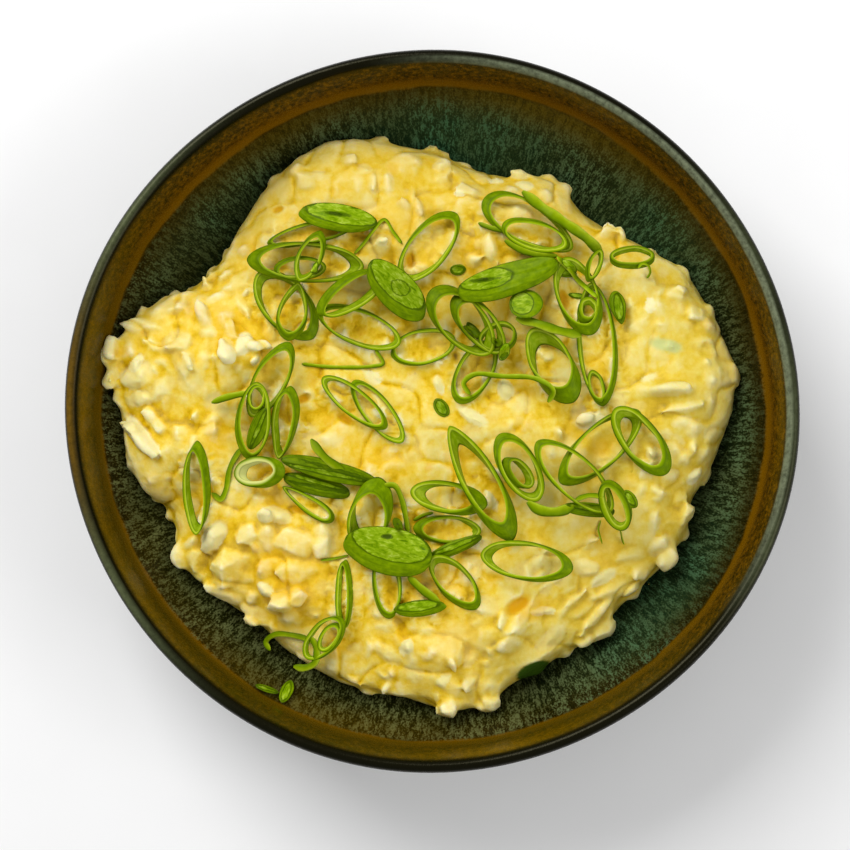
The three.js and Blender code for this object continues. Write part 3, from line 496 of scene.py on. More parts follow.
def glaze_material(marks):
    n = Nodes("reactive_glaze")
    place = n.attribute("run")
    wrap = n.attribute("wrap", "Vector")
    mm = 1 / RUN_LENGTH
    ring, lip = marks[RING_ROW] * mm, marks[LIP_ROW] * mm

    def from_to(mark, start, end):
        """From 0 to 1 between two distances from a mark, in millimetres."""
        return n.range(place, mark + start * mm, mark + end * mm)

    # The line of each colour change wanders a little.
    wander = n.swing(n.noise(n.scaled(wrap, 1, 1, 0.3), 0.05, 3.0), -mm, mm)
    base = n.ramp(n.sum(place, wander), [
        (0.0, 28, 34, 10), (ring - 26 * mm, 28, 34, 8), (ring - 12 * mm, 36, 38, 8),
        (ring - 6 * mm, 42, 38, 4), (ring - 3 * mm, 38, 30, 0), (ring - 1.2 * mm, 30, 22, 0),
        (ring - 0.2 * mm, 108, 74, 0), (ring + 2.6 * mm, 112, 76, 0), (ring + 5 * mm, 82, 54, 0),
        (ring + 10 * mm, 68, 46, 0), (lip - 5 * mm, 72, 48, 0), (lip - 3.4 * mm, 52, 36, 0),
        (lip - 2.2 * mm, 12, 10, 0), (lip + 1 * mm, 8, 8, 2), (lip + 4 * mm, 16, 16, 6),
        (lip + 12 * mm, 32, 34, 16), (1.0, 34, 38, 20),
    ])
    # Short streaks that run down the wall.
    streaks = n.noise(n.scaled(wrap, 1, 1, 0.32), 0.8, 4.0, 0.68)
    specks = n.noise(n.scaled(wrap, 1, 1, 0.7), 1.9, 2.0, 0.6)
    both = n.sum(n.times(streaks, 0.6), n.times(specks, 0.4))
    broad = n.range(n.noise(n.scaled(wrap, 1, 1, 0.5), 0.07), 0.35, 0.65)
    wall = from_to(ring, -2, -9)
    inner = from_to(ring, 0, -1.5)
    pale = n.mix(n.times("teal", n.range(broad, 0, 1, 0.4, 1.0)), srgb(94, 100, 60), srgb(74, 122, 88))
    lit = n.math("MAXIMUM", wall, n.range("olive", 0, 1, 0.2, 1.0))
    light = n.times(n.range(both, 0.48, 0.58), lit, inner, n.range(broad, 0, 1, 0.6, 1.0))
    colour = n.mix(light, base, pale)
    colour = n.tint(colour, (12, 15, 2), n.range(both, 0.5, 0.42), inner, 0.85)
    colour = n.tint(colour, (20, 64, 40), "teal", wall, 0.38)
    brown = n.range(both, 0.4, 0.6, 0.25, 0.8)
    colour = n.tint(colour, (92, 74, 6), from_to(ring, -13, -4), inner, "brown", brown)
    # The band breaks into rust and gold specks below the lip.
    mottle = n.noise(wrap, 0.7, 5.0, 0.7)
    below_lip = from_to(lip, -2, -4)
    band = n.times(from_to(ring, 2, 6), below_lip)
    colour = n.tint(colour, (118, 80, 2), n.range(mottle, 0.51, 0.62), band, 0.75)
    colour = n.tint(colour, (22, 15, 0), n.range(mottle, 0.49, 0.39), band, 0.75)
    colour = n.tint(colour, (66, 60, 2), from_to(ring, -1, 1), below_lip, "olive", 0.6)
    golden = n.range(mottle, 0.35, 0.6, 0.4, 0.9)
    colour = n.tint(colour, (116, 86, 0), from_to(ring, 5, 11), from_to(lip, -2.2, -4.4), "gold", golden)
    # Painted reflection: a pale grey-green band of window light inside the lip, to the right.
    broken = n.range(mottle, 0.3, 0.6, 0.3, 0.9)
    colour = n.tint(colour, (126, 134, 106), from_to(lip, -3, -2.1), from_to(lip, 0.3, -0.5), "sky_reflection", broken)
    # Painted reflection: a pale grey-green band of window light on the lip; rust_lip is the glaze's own rust
    # colour on the same band.
    rim = n.times(from_to(lip, -1.4, 0.2), from_to(lip, 2, 1), n.range(mottle, 0.3, 0.6, 0.55, 1.0))
    colour = n.tint(colour, (84, 92, 62), rim, "lip_reflection")
    colour = n.tint(colour, (108, 80, 16), rim, "rust_lip")
    uneven = n.bump(n.noise(wrap, 0.12), 0.15, 0.6 * MM)
    return n.finished({
        "Base Color": colour,
        "Roughness": n.range(specks, 0.35, 0.65, 0.2, 0.32),
        "IOR": 1.5,
        "Specular IOR Level": 0.13,
        "Specular Tint": (1.0, 0.95, 0.6, 1.0),
        "Normal": n.bump(n.sum(streaks, specks), 0.25, 0.12 * MM, Normal=uneven),
    })


# Egg. Places and sizes are in millimetres, and voxels in metres.

EGG_BASE_VOXEL = 1.1 * MM
EGG_BASE_SMOOTHING = 10
EGG_VOXEL = 0.5 * MM
EGG_SMOOTHING = 2
EGG_SOFTENING = 9
EGG_TRIANGLES = 190000
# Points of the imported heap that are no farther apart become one.
SAME_PLACE = 0.002 * MM
# Chunks of egg white that show: [x, y, half length, half width, turn].
WHITES = [
    (-83, 12.5, 4, 2.6, 20), (-82, 4.5, 3.5, 1.8, 15),
    (-52.5, 19, 3.8, 2.6, 75), (-58, 17.5, 3.4, 1.6, 95), (-67.5, 13.5, 3.6, 1.6, -58),
    (-46, -29, 3, 2.4, -75),
    (44, -3, 4.8, 2.6, 5), (11.5, -1.5, 5, 2, -34), (20.5, 6, 2.9, 2.3, 120), (2, 7.5, 2.8, 1.7, -55),
    (61, 29.5, 2.6, 1.7, 90), (61.5, 8.5, 3.6, 2, 25), (48, -45.5, 4.8, 2.2, 39), (31.5, -56, 5, 1.7, 46),
    (-7, -65.5, 2.8, 2, 40), (16.5, -25, 3.4, 1.4, -70), (-11, -10.5, 2.6, 1.5, 15),
    (-16.5, 9.5, 3.6, 1.9, -32),
    (26, 64, 3, 1.9, -15), (18, 65.5, 2.4, 1.6, -40), (9, 62, 3.4, 1.7, 22), (-14, 47.5, 3, 2, 60),
    (73, -18, 2.6, 1.9, 54), (-37.5, -53, 2.8, 2, 42), (-46.5, -50, 2.8, 1.9, -38), (3, -75, 2.4, 1.6, 28),
]
# Where yolk shows stronger: the same, and how strong.
YOLKS = [
    (24, -54, 4.2, 2.1, 33, 1.6), (28, -55.5, 5, 2.6, 26, 0.8), (-43.5, 57.5, 1.8, 1.1, 10, 1.2),
    (-36, 3.5, 2.4, 1.2, 20, 1.3), (-42, 1.5, 1.2, 2.2, 0, 0.9), (-24, -2.3, 2.4, 1.2, -32, 1.3),
    (-36.5, -27.8, 3.6, 1.2, -15, 1.3), (-6, 42, 1.3, 2.3, 0, 1.3), (37, 31, 1.5, 3, 20, 1.2),
    (26, 7, 4.6, 2.8, -25, 0.6), (47, -10.5, 4.4, 3.2, 35, 0.9), (40.5, -5.5, 3, 4, 0, 0.5),
    (46, 10, 4, 6, 0, 0.5), (-60, -6.5, 5, 3.4, 82, 0.55), (-44, -24.5, 6.5, 2.6, -20, 0.6),
    (-13.5, -14, 9, 4.5, 15, 0.5), (-46, -37.5, 2.4, 5, -15, 0.4), (-87, 16.5, 2, 1.6, 20, 0.7),
    (-67.5, 28, 2.8, 2, 0, 0.5), (-72.5, 16, 5, 3, -35, 0.35), (8, 45, 4, 3, 60, 0.4),
]
# Blocks at the lobes of the heap's edge: the place that they lie towards, half length and half width,
# turn from the edge, how white, and how far each sticks out.
EDGE_BLOCKS = [
    (86, 11, 6, 3.4, 15, 0.1, 1), (79, 28.5, 3.2, 2.4, -10, 0.1, 1.2), (72, 40, 3.4, 2.4, 10, 0.1, 0.9),
    (62, 45, 2.8, 2, 10, 0.2, 0.6), (52.5, 50.5, 3, 2.2, -15, 0.1, 0.4), (34, 67, 4.6, 3.2, 5, 0.2, 1.2),
    (24, 67.5, 3.2, 2, 0, 0.7, 0.9), (8, 70.5, 3, 1.8, 5, 0.3, 0.9), (2.5, 71.5, 2.6, 2.2, 0, 0.1, 1.2),
    (-1, 76.5, 2.8, 2.2, 20, 0.15, 1.4), (-16, 78, 3.6, 2.4, 0, 0.1, 0.8),
    (-45, 67.5, 3.2, 2.4, -10, 0.1, 0.9),
    (-60, 47, 2.4, 1.8, 20, 0.1, 0.9), (-64.5, 41, 2.8, 2.2, -10, 0.3, 1.2),
    (-77, 34.5, 3.4, 2.4, -15, 0.7, 1.2),
    (-84.5, 28, 3.4, 2.4, 20, 0.1, 1), (-94, 18, 4.4, 3.4, 15, 0.25, 1.3), (-91.5, 9, 3.6, 2.8, 10, 0.2, 1),
    (-72.8, -28, 2.6, 2, 0, 0.1, 0.9), (-73, -36, 3, 2.2, 5, 0.1, 0.6), (-50.5, -58, 3, 2.2, 0, 0.1, 1),
    (-18, -78.5, 3, 2.2, 0, 0.1, 0.9), (4, -83, 4.4, 3.2, 5, 0.1, 0.6), (15.5, -80.5, 4, 3, -15, 0.1, 0.8),
    (37, -67, 3, 2.4, -10, 0.1, 1.2), (47, -61, 5, 3.4, -10, 0.1, 0.7), (57.5, -51, 3.8, 2.6, 20, 0.1, 1),
    (64.5, -40.5, 4.4, 3.4, 15, 0.35, 1.2), (71, -34.5, 2.6, 1.8, 40, 0.15, 0.9),
    (72, -29, 4, 2.8, 0, 0.1, 0.7),
    (77, -17.5, 3.8, 2.6, 10, 0.2, 1),
]
# The larger lumps, in the same words, with the turn from +X.
LUMPS = [
    (-82, -7.5, 9, 3.6, 122, 1, 2), (-61.5, -35, 5.5, 4, 105, 1, 2),
    (-51.5, -34, 5, 3.4, 60, 0.1, 2.2), (-55, -42.5, 9.5, 6, 62, 0.1, 2.8),
    (-66, -41, 5.4, 3.6, 80, 0.1, 1.8),
    (-37, -36.5, 8.5, 5, -18, 0.15, 2.4), (-30, -37.5, 4.6, 3.2, 55, 0.35, 2.2),
    (-40, -52.5, 8, 6, 60, 0.1, 2.8),
    (-35.5, -44, 9, 4.6, 5, 0, 1.4), (-57, -51.5, 9, 2.6, -36, 0.1, 1.4),
    (-69, -5, 4.5, 3.5, 30, 0.1, 1), (-61.5, -3.5, 4.5, 3, 70, 0.1, 1.4),
    (-50, -23.5, 5.5, 3.2, -30, 0.1, 1.4),
    (-77, -17.5, 6, 4.5, 60, 0, 0.8), (-30.5, -35, 5.2, 3.8, 40, 0.25, 1.4), (-43, -29, 4.6, 2.3, -8, 0.7, 2),
    (-82.5, 10.4, 6.4, 3.4, 22, 0.6, 2.6), (-81.2, 4, 4.8, 2.4, 5, 0.6, 2),
    (-68.5, 12.5, 4.4, 3.2, 100, 0.3, 2.2), (-57, 16.5, 5, 3, 97, 0.3, 2.2),
    (-80.5, 24, 8.5, 3.2, -14, 0.1, 1.6), (-72.5, 29, 5.2, 2.4, -8, 0.2, 1.4),
    (-63.5, 26.5, 6, 2.2, -62, 0.15, 1.6),
    (-52.5, 29.5, 5.2, 1.6, -70, 0.2, 1.2), (-58.5, 38.5, 3.4, 2, 30, 0.1, 1.2),
    (-59, 41, 2.6, 1.8, 20, 0.2, 1.2),
    (-76.5, 18, 6, 2.4, -30, 0, 1.2), (-63.5, 14, 3.5, 2.5, 60, 0.1, 1.5), (-45, 22, 4, 1.8, -60, 0.1, 1),
    (-48, 57.5, 5, 3, 20, 0, 0.7), (-35, 65, 4.5, 2.6, -30, 0.15, 0.8), (-24, 70, 5, 3, 20, 0, 0.8),
    (-16, 65, 4.6, 1.8, 88, 0.2, 1.2), (-12, 64, 4.4, 1.6, 95, 0.2, 1.2), (-4, 58.5, 5, 1.8, 95, 0.1, 0.8),
    (-15, 46, 4.2, 3.4, 60, 0.3, 1.6), (16, 46, 4.6, 2.6, 97, 0.2, 1.6), (11.5, 42.5, 3.6, 2.2, 20, 0.2, 1.4),
    (10, 62.5, 5.5, 3, -15, 0.2, 1.2), (22, 62, 3.4, 2.4, -20, 0.2, 1.2), (33, 60, 4, 2.6, -50, 0.1, 1.2),
    (5, 68, 2.4, 1.6, 20, 0.1, 1.2), (49, 50.5, 4, 2.4, 60, 0.1, 1), (60.5, 35.5, 5, 3, 97, 0.15, 1.2),
    (69, 33, 4, 3, 20, 0.1, 1.3), (74, 27.5, 4, 2.8, 60, 0.1, 1.2), (79, 17.5, 5, 2.6, -60, 0.1, 1),
    (58, 24, 6, 2.4, 30, 0.1, 0.8), (74.5, 19, 5, 2.4, 10, 0.1, 1), (67, 6, 8.6, 2.6, 8, 0.3, 1.4),
    (69.5, 0.5, 8, 1.5, 12, 0.1, 1.2), (73, -5, 3, 2.4, 30, 0.2, 1.4), (66.5, -10.5, 3.4, 2.6, -30, 0.2, 1.4),
    (70.5, -13, 2.8, 2.2, 40, 0.2, 1.4), (61, -7.5, 4, 3, 0, 0.1, 0.8), (67.5, -25, 5, 3, 30, 0, 0.9),
    (63.5, -37.5, 3.8, 3.2, 20, 0.35, 1.4), (56.5, -39, 6, 3, 30, 0.1, 1),
    (42.5, -43.5, 5.2, 2.6, -12, 0.35, 1.8),
    (55.5, -49, 5, 2.2, 20, 0.25, 1.4), (51.5, -49.5, 9, 3.2, 14, 0.1, 1.8), (38, -53, 8, 1.9, 52, 0.1, 1.6),
    (45.5, -57.5, 8, 2.4, 45, 0.1, 1.6), (28.5, -47, 5, 2, 30, 0.2, 1.2), (19.5, -57.5, 4.5, 2, 40, 0.1, 1.2),
    (13, -59, 4, 2.4, 40, 0.1, 1.2), (4, -51, 4, 2.2, 30, 0.1, 0.9), (-2, -60.5, 4, 2.6, -20, 0.1, 1.2),
    (-12.5, -59.5, 3.6, 3, 20, 0.15, 1.6), (-27, -55.5, 3.2, 2.4, 40, 0.1, 1.7),
    (-10, -15.5, 5, 2.6, 20, 0, 0.7),
    (33.5, -1.5, 6, 3, -10, 0, 0.6), (43, -36.5, 6, 2.4, -5, 0.1, 0.7),
]
# Where the chopped pieces stand out boldly: [x, y, reach, amount].
BOLD_PLACES = [
    (-78, 5, 22, 1.0), (-52, -40, 24, 1.25), (-20, -66, 20, 0.75), (10, -70, 22, 0.65), (44, -50, 22, 0.5),
    (70, -20, 20, 0.4), (66, 20, 20, 0.28), (-60, 26, 19, 1.05), (14, 66, 20, 0.5), (-50, 14, 15, 1.05),
    (-8, 46, 12, 0.6), (12, 2, 12, 0.35), (28, -56, 12, 0.6),
]
LEAST_BOLD = 0.2
MOST_BOLD = 1.15
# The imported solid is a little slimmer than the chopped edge.
EDGE_SWELL = 0.8
GREEN_BIT = (28.4, -72.6, 5.2, 2.6, 22)
PALE_GREEN = (65.5, 18, 4.6, 1.8, -12)
BLOCK_KINDS = 14
BLOCK_POINTS = 13
# The turn from one point of a block to the next spreads them evenly.
BLOCK_TURN = 2.39996
# An edge block is looked for from this far outside its place, in small steps.
SEARCH_FROM = 5
SEARCH_STEP = 0.25
SEARCH_STEPS = 60
# Chunks are tried at random in an area with these half sizes.
CHUNK_AREA = (92, 84)
CHUNK_TRIES = 5200
CHUNK_CROWDING = 0.6
# Where the surface tilts over the edge of the heap, the chunks are smaller.
EDGE_TILT = 0.82
EDGE_CHUNK = 3.0
WHITE_RISE = 1.0
# The egg stays this far below a slice, and rises to one that is no farther than the reach.
SLICE_GAP = 0.12
SLICE_REACH = 2.2
# Egg that faces up this much, inside this radius and above this height, can meet a slice.
MEETS_FACING = 0.2
MEETS_RADIUS = 92
MEETS_HEIGHT = 20
# Slices are looked for upwards from this far below the egg's surface, over this length.
LOOK_FROM = 5.0
LOOK_LENGTH = 11
# Each place asks this many of the nearest chunks for its white.
CHUNKS_ASKED = 6
CHUNK_SEED = 5
BLOCK_SEED = 3
# Sheets of the near right part: middle, reach and spacing, and the shares that rise and fall.
SHEETS_X, SHEETS_Y = 40, -54
SHEETS_REACH = (20, 15)
SHEET_SPACING = 5.2
SHEET_RISE = 0.82
SHEET_FALL = 0.18


def rough_blocks(rng):
    """Convex blocks with few sides, about one unit in half size."""
    made = []
    for _ in range(BLOCK_KINDS):
        work = bmesh.new()
        for i in range(BLOCK_POINTS):
            lift = 1 - 2 * (i + 0.5) / BLOCK_POINTS
            around = i * BLOCK_TURN + rng.uniform(-0.5, 0.5)
            across = math.sqrt(1 - lift * lift)
            size = rng.uniform(0.8, 1.15)
            work.verts.new((size * across * math.cos(around), size * across * math.sin(around), size * lift))
        bmesh.ops.convex_hull(work, input=work.verts[:])
        bmesh.ops.delete(work, geom=[v for v in work.verts if not v.link_faces], context="VERTS")
        points, faces = read_out(work)
        made.append((points, turned_out(points, faces)))
    return made


def boldness(x, y):
    """How strongly the chopped pieces stand out: bold to the left and the near side, soft elsewhere."""
    out = LEAST_BOLD
    for cx, cy, reach, amount in BOLD_PLACES:
        away = math.hypot(x - cx, y - cy) / reach
        out = max(out, amount * math.exp(-away * away))
    return min(out, MOST_BOLD)


def unit(vector):
    return vector / np.linalg.norm(vector)


def axes_on(normal, angle):
    """Axes of a block on a surface: along an angle seen from above, across, and outwards."""
    along = np.array([math.cos(angle), math.sin(angle), 0.0])
    along = unit(along - normal * along.dot(normal))
    return np.stack([along, np.cross(normal, along), normal])


def edge_block(tree, rng, x, y, a, b, turn, white, rise):
    """A block on the lower edge of the heap, found by searching inwards from outside."""
    away = math.hypot(x, y)
    out_x, out_y = x / away, y / away
    for k in range(SEARCH_STEPS):
        reach = away + SEARCH_FROM - SEARCH_STEP * k
        hit = seen_from_above(tree, out_x * reach, out_y * reach)
        if hit:
            break
    c = max(0.8 * b, rise)
    normal = unit(np.array([out_x * 0.8, out_y * 0.8, 0.6]) + rng.normal(0, 0.08, 3))
    centre = hit[0] + normal * (rise + EDGE_SWELL - c) + (0, 0, 0.3 * c)
    return centre, np.array([a, b, c]), axes_on(normal, math.atan2(y, x) + math.radians(90 + turn)), white


def wanted_chunks(rng):
    """The typed chunks and the scattered ones, in the words of LUMPS, with no rise for the scattered."""
    wanted = [(*row, 1.0, WHITE_RISE) for row in WHITES] + LUMPS
    taken = [(row[0], row[1], math.sqrt(row[2] * row[3])) for row in wanted]
    for _ in range(CHUNK_TRIES):
        x, y = [rng.uniform(-half, half) for half in CHUNK_AREA]
        usual = math.log(3.6 + 3.0 * boldness(x, y))
        a = float(np.clip(math.exp(rng.normal(usual, 0.5)), 1.6, 11.0))
        b = a * rng.uniform(0.45, 0.85)
        size = math.sqrt(a * b)
        turn = rng.uniform(0, 180)
        # Near the lower right they lie along one another.
        if x > 10 and y < -25:
            turn = rng.normal(42, 22)
        white = 0.4 if rng.uniform(0, 1) < 0.08 else float(np.clip(rng.normal(0.08, 0.2), -0.45, 0.4))
        crowded = any(math.hypot(x - tx, y - ty) < CHUNK_CROWDING * (size + ts) for tx, ty, ts in taken)
        if not crowded and spots(np.array([[x, y]]), WHITES)[0] <= -0.3:
            taken.append((x, y, size))
            wanted.append((x, y, a, b, turn, white, None))
    return wanted


def chunk_rows(tree):
    """The chopped pieces on the heap: centre, three half sizes, axes and how white."""
    rng = np.random.default_rng(CHUNK_SEED)
    wanted = wanted_chunks(rng)
    rows = [edge_block(tree, rng, *row) for row in EDGE_BLOCKS]
    for x, y, a, b, turn, white, rise in wanted:
        hit = seen_from_above(tree, x, y)
        if not hit:
            continue
        normal = unit(hit[1])
        on_edge = normal[2] < EDGE_TILT
        if on_edge and a > EDGE_CHUNK and rise is None:
            a, b = EDGE_CHUNK, min(b, 0.7 * EDGE_CHUNK)
        bold = boldness(x, y)
        c = max(b * rng.uniform(0.5, 0.8), 0.9 * (rise or 0))
        normal = unit(normal + rng.normal(0, 0.1 if on_edge else 0.2 + 0.14 * bold, 3))
        free = (0.14 + 0.9 * bold + 0.6 * bold**4) * rng.uniform(0.3, 1.15)
        rise = min(c, rise or (min(free, 0.45) if on_edge else free))
        rise += EDGE_SWELL * float(smooth_step(normal[2], 0.9, 0.5))
        centre = np.array([x, y, hit[0][2]]) + normal * (rise - c)
        rows.append((centre, np.array([a, b, c]), axes_on(normal, math.radians(turn)), white))
    return rows


def layers(p):
    """Overlapping sheets that run up to the right, in the near right part of the heap."""
    x, y = p[:, 0], p[:, 1]
    bent = (x - y) / math.sqrt(2) + 3.4 * soft_noise(p, 11, 111) + 1.3 * soft_noise(p, 4.5, 113)
    share = ((bent + 0.12 * ((x + y) / math.sqrt(2))) / SHEET_SPACING) % 1.0
    sheet = np.where(share < SHEET_RISE, share / SHEET_RISE, (1 - share) / SHEET_FALL)
    away = ((x - SHEETS_X) / SHEETS_REACH[0]) ** 2 + ((y - SHEETS_Y) / SHEETS_REACH[1]) ** 2
    return (0.34 + 0.3 * soft_noise(p, 7, 115)) * (sheet - 0.5) * np.exp(-(away**1.5))


def folds(p):
    """Soft creases that wander over the smooth parts."""
    return (1 - np.abs(soft_noise(warped(p, 16, 5, 121), 11, 131))) ** 6


def remeshed(points, faces, voxel):
    """A closed mesh of small even faces around everything given, in metres."""
    return modified(new_mesh("work", points, faces), "REMESH", mode="VOXEL", voxel_size=voxel)


def rounded_base():
    """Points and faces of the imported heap, rounded and a little fuller at its edge."""
    merged = bmesh.new()
    merged.from_mesh(nodes["egg_spread"].data)
    bmesh.ops.remove_doubles(merged, verts=merged.verts, dist=SAME_PLACE)
    base = remeshed(*read_out(merged), EGG_BASE_VOXEL)
    points = relaxed(base, EGG_BASE_SMOOTHING)
    facing = coordinates(base, "normal")
    points += facing * (EDGE_SWELL * smooth_step(facing[:, 2], 0.9, 0.5))[:, None]
    return points, [tuple(f.vertices) for f in base.polygons]


def with_chunks(points, faces, rows):
    """The heap and its chopped pieces as one closed mesh."""
    blocks = rough_blocks(np.random.default_rng(BLOCK_SEED))
    bodies, shift = [points], len(points)
    for i, (centre, half, axes, _) in enumerate(rows):
        shape, sides = blocks[i % BLOCK_KINDS]
        bodies.append(centre + (shape * half) @ axes)
        faces += [tuple(k + shift for k in f) for f in sides]
        shift += len(shape)
    return remeshed(np.vstack(bodies) * MM, faces, EGG_VOXEL)


def roughen(mesh):
    """Gives the egg its soft surface of mounds, layers, folds and dents."""
    crisp = relaxed(mesh, EGG_SMOOTHING)
    soft = relaxed(mesh, EGG_SOFTENING)
    bold = np.array([boldness(x, y) for x, y in crisp[:, :2]])
    # The smooth places have run together, the bold ones keep their edges, and both come in patches.
    melted = 0.3 + 0.7 * smooth_step(0.5 * soft_noise(crisp, 14, 21) - bold, -0.6, 0.15)[:, None]
    p = crisp + melted * (soft - crisp)
    set_points(mesh, p)
    normal = coordinates(mesh, "normal")
    up = smooth_step(normal[:, 2], -0.35, 0.25)
    mid = mounds(warped(p, 5, 1.3, 31), 4.4, 41)
    small = mounds(warped(p, 3, 0.6, 51), 2.3, 61)
    height = 0.3 * (mid - 0.45) * (0.3 + 0.7 * bold) + 0.2 * (small - 0.45) * (0.4 + 0.6 * bold)
    height += 0.35 * soft_noise(p, 8, 81) + 0.1 * soft_noise(p, 1.7, 91)
    height += layers(p) - 0.7 * folds(p)
    height -= 0.9 * smooth_step(spots(p, [row[:5] for row in YOLKS if row[5] >= 1]), -0.3, 0.5)
    set_points(mesh, p + normal * (height * up)[:, None])


def meet_slices(p, normal, edges, slice_tree):
    """Raises the egg to the slices that lie on it and keeps it under them. Returns where it is covered."""
    covered, lift, low = np.zeros((3, len(p)))
    near = (np.hypot(p[:, 0], p[:, 1]) < MEETS_RADIUS) & (p[:, 2] > MEETS_HEIGHT)
    for i in np.nonzero(near & (normal[:, 2] > MEETS_FACING))[0]:
        x, y, z = p[i]
        start = Vector((x * MM, y * MM, (z - LOOK_FROM) * MM))
        place = slice_tree.ray_cast(start, UP, LOOK_LENGTH * MM)[0]
        if place is None:
            continue
        gap = place.z / MM - z
        covered[i] = smooth_step(gap, 3.0, 0.8)
        if gap < SLICE_GAP:
            low[i] = SLICE_GAP - gap
        elif gap < SLICE_REACH:
            lift[i] = gap - SLICE_GAP
    lift = spread(lift, edges, 4, 0.66)
    p[:, 2] += np.where(low > 0, -low, lift * (spread(low, edges, 1, 1.0) == 0))
    return covered


def relief_shade_of(p, normal, edges, count):
    """How far each place stands out from those around it, near and far, which paints shade into the hollows
    and light onto the rises.
    """
    level = calmed(p, edges, count, 2, 0.6)
    wide = calmed(level, edges, count, 34, 0.6)
    near = calmed(level, edges, count, 7, 0.6)
    return ((level - wide + 1.6 * (level - near) + 0.8 * (p - level)) * normal).sum(1)


def chunk_whites(p, normal, rows):
    """How white the chunk is that each place lies on, and how far inside that chunk the place is."""
    lookup = KDTree(len(rows))
    for i, row in enumerate(rows):
        lookup.insert(Vector(row[0]), i)
    lookup.balance()
    whites, inside = np.zeros(len(p)), np.full(len(p), 9.0)
    for i in np.nonzero(normal[:, 2] >= -0.3)[0]:
        for _, k, away in lookup.find_n(Vector(p[i]), CHUNKS_ASKED):
            centre, half, axes, white = rows[k]
            if away > half[0] * 1.3 or white == 0:
                continue
            local = axes @ (p[i] - centre) / half
            value = math.sqrt(local @ local)
            if value < inside[i]:
                whites[i], inside[i] = white, value
    return whites, inside


def yolk_of(p):
    out = np.zeros(len(p))
    for *oval, strength in YOLKS:
        start = -0.5 if strength < 1 else -0.25
        out = np.maximum(out, strength * smooth_step(spots(p, [oval]), start, 0.6))
    return out


def make_egg(cad_tree, slice_tree):
    rows = chunk_rows(cad_tree)
    mesh = with_chunks(*rounded_base(), rows)
    roughen(mesh)
    triangles = sum(len(f.vertices) - 2 for f in mesh.polygons)
    mesh = modified(mesh, "DECIMATE", ratio=min(1.0, EGG_TRIANGLES / triangles))
    p = coordinates(mesh) / MM
    edges, count = edge_pairs(mesh)
    covered = meet_slices(p, coordinates(mesh, "normal"), edges, slice_tree)
    set_points(mesh, p)
    normal = coordinates(mesh, "normal")
    whites, inside = chunk_whites(p, normal, rows)
    ragged = 0.16 * soft_noise(p, 2.6, 101) + 0.07 * soft_noise(p, 1.0, 103)
    x, y, z = p.T
    looks = {
        # Painted shade in the hollows and painted light on the rises.
        "relief_shade": relief_shade_of(p, normal, edges, count),
        "bold": [boldness(*place) for place in p[:, :2]],
        # To the right the egg is paler, and at the far side a little darker.
        "pale_side": smooth_step(0.8 * x - 0.35 * y, 18, 52),
        "far_side": smooth_step(y - 0.2 * x, 34, 58),
        # Painted shadow under and beside the slices.
        "slice_shadow": spread(covered, edges, 3, 0.6),
        "white": whites * smooth_step(inside + ragged, 1.16, 0.9),
        "yolk": yolk_of(p),
        "pale_green": 0.8 * smooth_step(spots(p, [PALE_GREEN]) + ragged, -0.3, 0.3),
        "leaf": smooth_step(spots(p, [GREEN_BIT]), -0.1, 0.1) * (z < 34),
    }
    for name, values in looks.items():
        add_attribute(mesh, name, values)
    shade_smooth(mesh)
    return new_object("egg_heap", mesh)


def egg_material():
    n = Nodes("egg_spread")
    place = n.place()
    tone, patch, grain = n.noise(place, 85), n.noise(place, 38), n.noise(place, 620, 3.0, 0.6)
    uneven = n.times(n.swing(tone, -1, 1), n.range("bold", 0.2, 1.0, 0.17, 0.3))
    # The ramp paints shade into the hollows and light onto the rises from relief_shade, together with random
    # tone from uneven and grain.
    level = n.sum(n.sum(n.times("relief_shade", 1.25), uneven), n.swing(grain, -0.25, 0.25))
    colour = n.ramp(n.range(level, -1.3, 1.3), [
        (0.0, 180, 140, 0), (0.2, 216, 174, 4), (0.36, 234, 197, 44),
        (0.55, 240, 214, 98), (0.78, 244, 227, 146), (1.0, 249, 239, 186),
    ])
    # Some of it is yellower with yolk.
    colour = n.tint(colour, (238, 190, 48), n.range(patch, 0.5, 0.7, 0.0, 0.35))
    colour = n.tint(colour, (212, 202, 96), "pale_side", 0.24)
    colour = n.tint(colour, (204, 172, 54), "far_side", 0.3)
    pale = n.mix(n.range(tone, 0.35, 0.65), srgb(232, 222, 148), srgb(243, 236, 184))
    colour = n.mix(n.range("white", 0, 1, 0.0, 0.88), colour, pale)
    colour = n.tint(colour, (228, 174, 24), n.range("white", 0, -1))
    colour = n.tint(colour, (228, 178, 22), n.range("yolk", 0, 1, 0.0, 0.65))
    colour = n.tint(colour, (214, 156, 0), n.range("yolk", 0.8, 1.3, 0.0, 0.85))
    # Painted shadow: a darker golden shade under and just beside the slices.
    colour = n.tint(colour, (206, 180, 18), "slice_shadow", 0.4)
    colour = n.tint(colour, (196, 208, 140), "pale_green")
    colour = n.tint(colour, (62, 96, 18), "leaf")
    return n.finished({
        "Base Color": colour,
        "Roughness": n.swing(tone, 0.34, 0.5),
        "IOR": 1.42,
        "Specular IOR Level": 0.28,
        "Specular Tint": (1.0, 0.86, 0.4, 1.0),
        "Subsurface Weight": 0.3,
        "Subsurface Radius": (1.0, 0.66, 0.2),
        "Subsurface Scale": 1.1 * MM,
        "Normal": n.bump(n.sum(grain, tone), 0.5, 0.3 * MM),
    })


# Spring onion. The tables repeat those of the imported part.

ONION_WALL = 0.95
ONION_THICKNESS = 1.15
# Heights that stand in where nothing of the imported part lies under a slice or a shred.
SLICE_TOP = 46
SHRED_TOP = 44
# How far a leaf or a shred that lies on top is raised above what is under it.
LEAF_RAISE = 0.35
SHRED_RAISE = 0.45
# How often each term of a slice's wavering goes round.
WAVES = (2, 3, 5, 7)
# Slices with a smaller half length than these are made of fewer points.
SMALL_RING = 7
SMALL_LEAF = 6
STRIP_STEP = 0.55


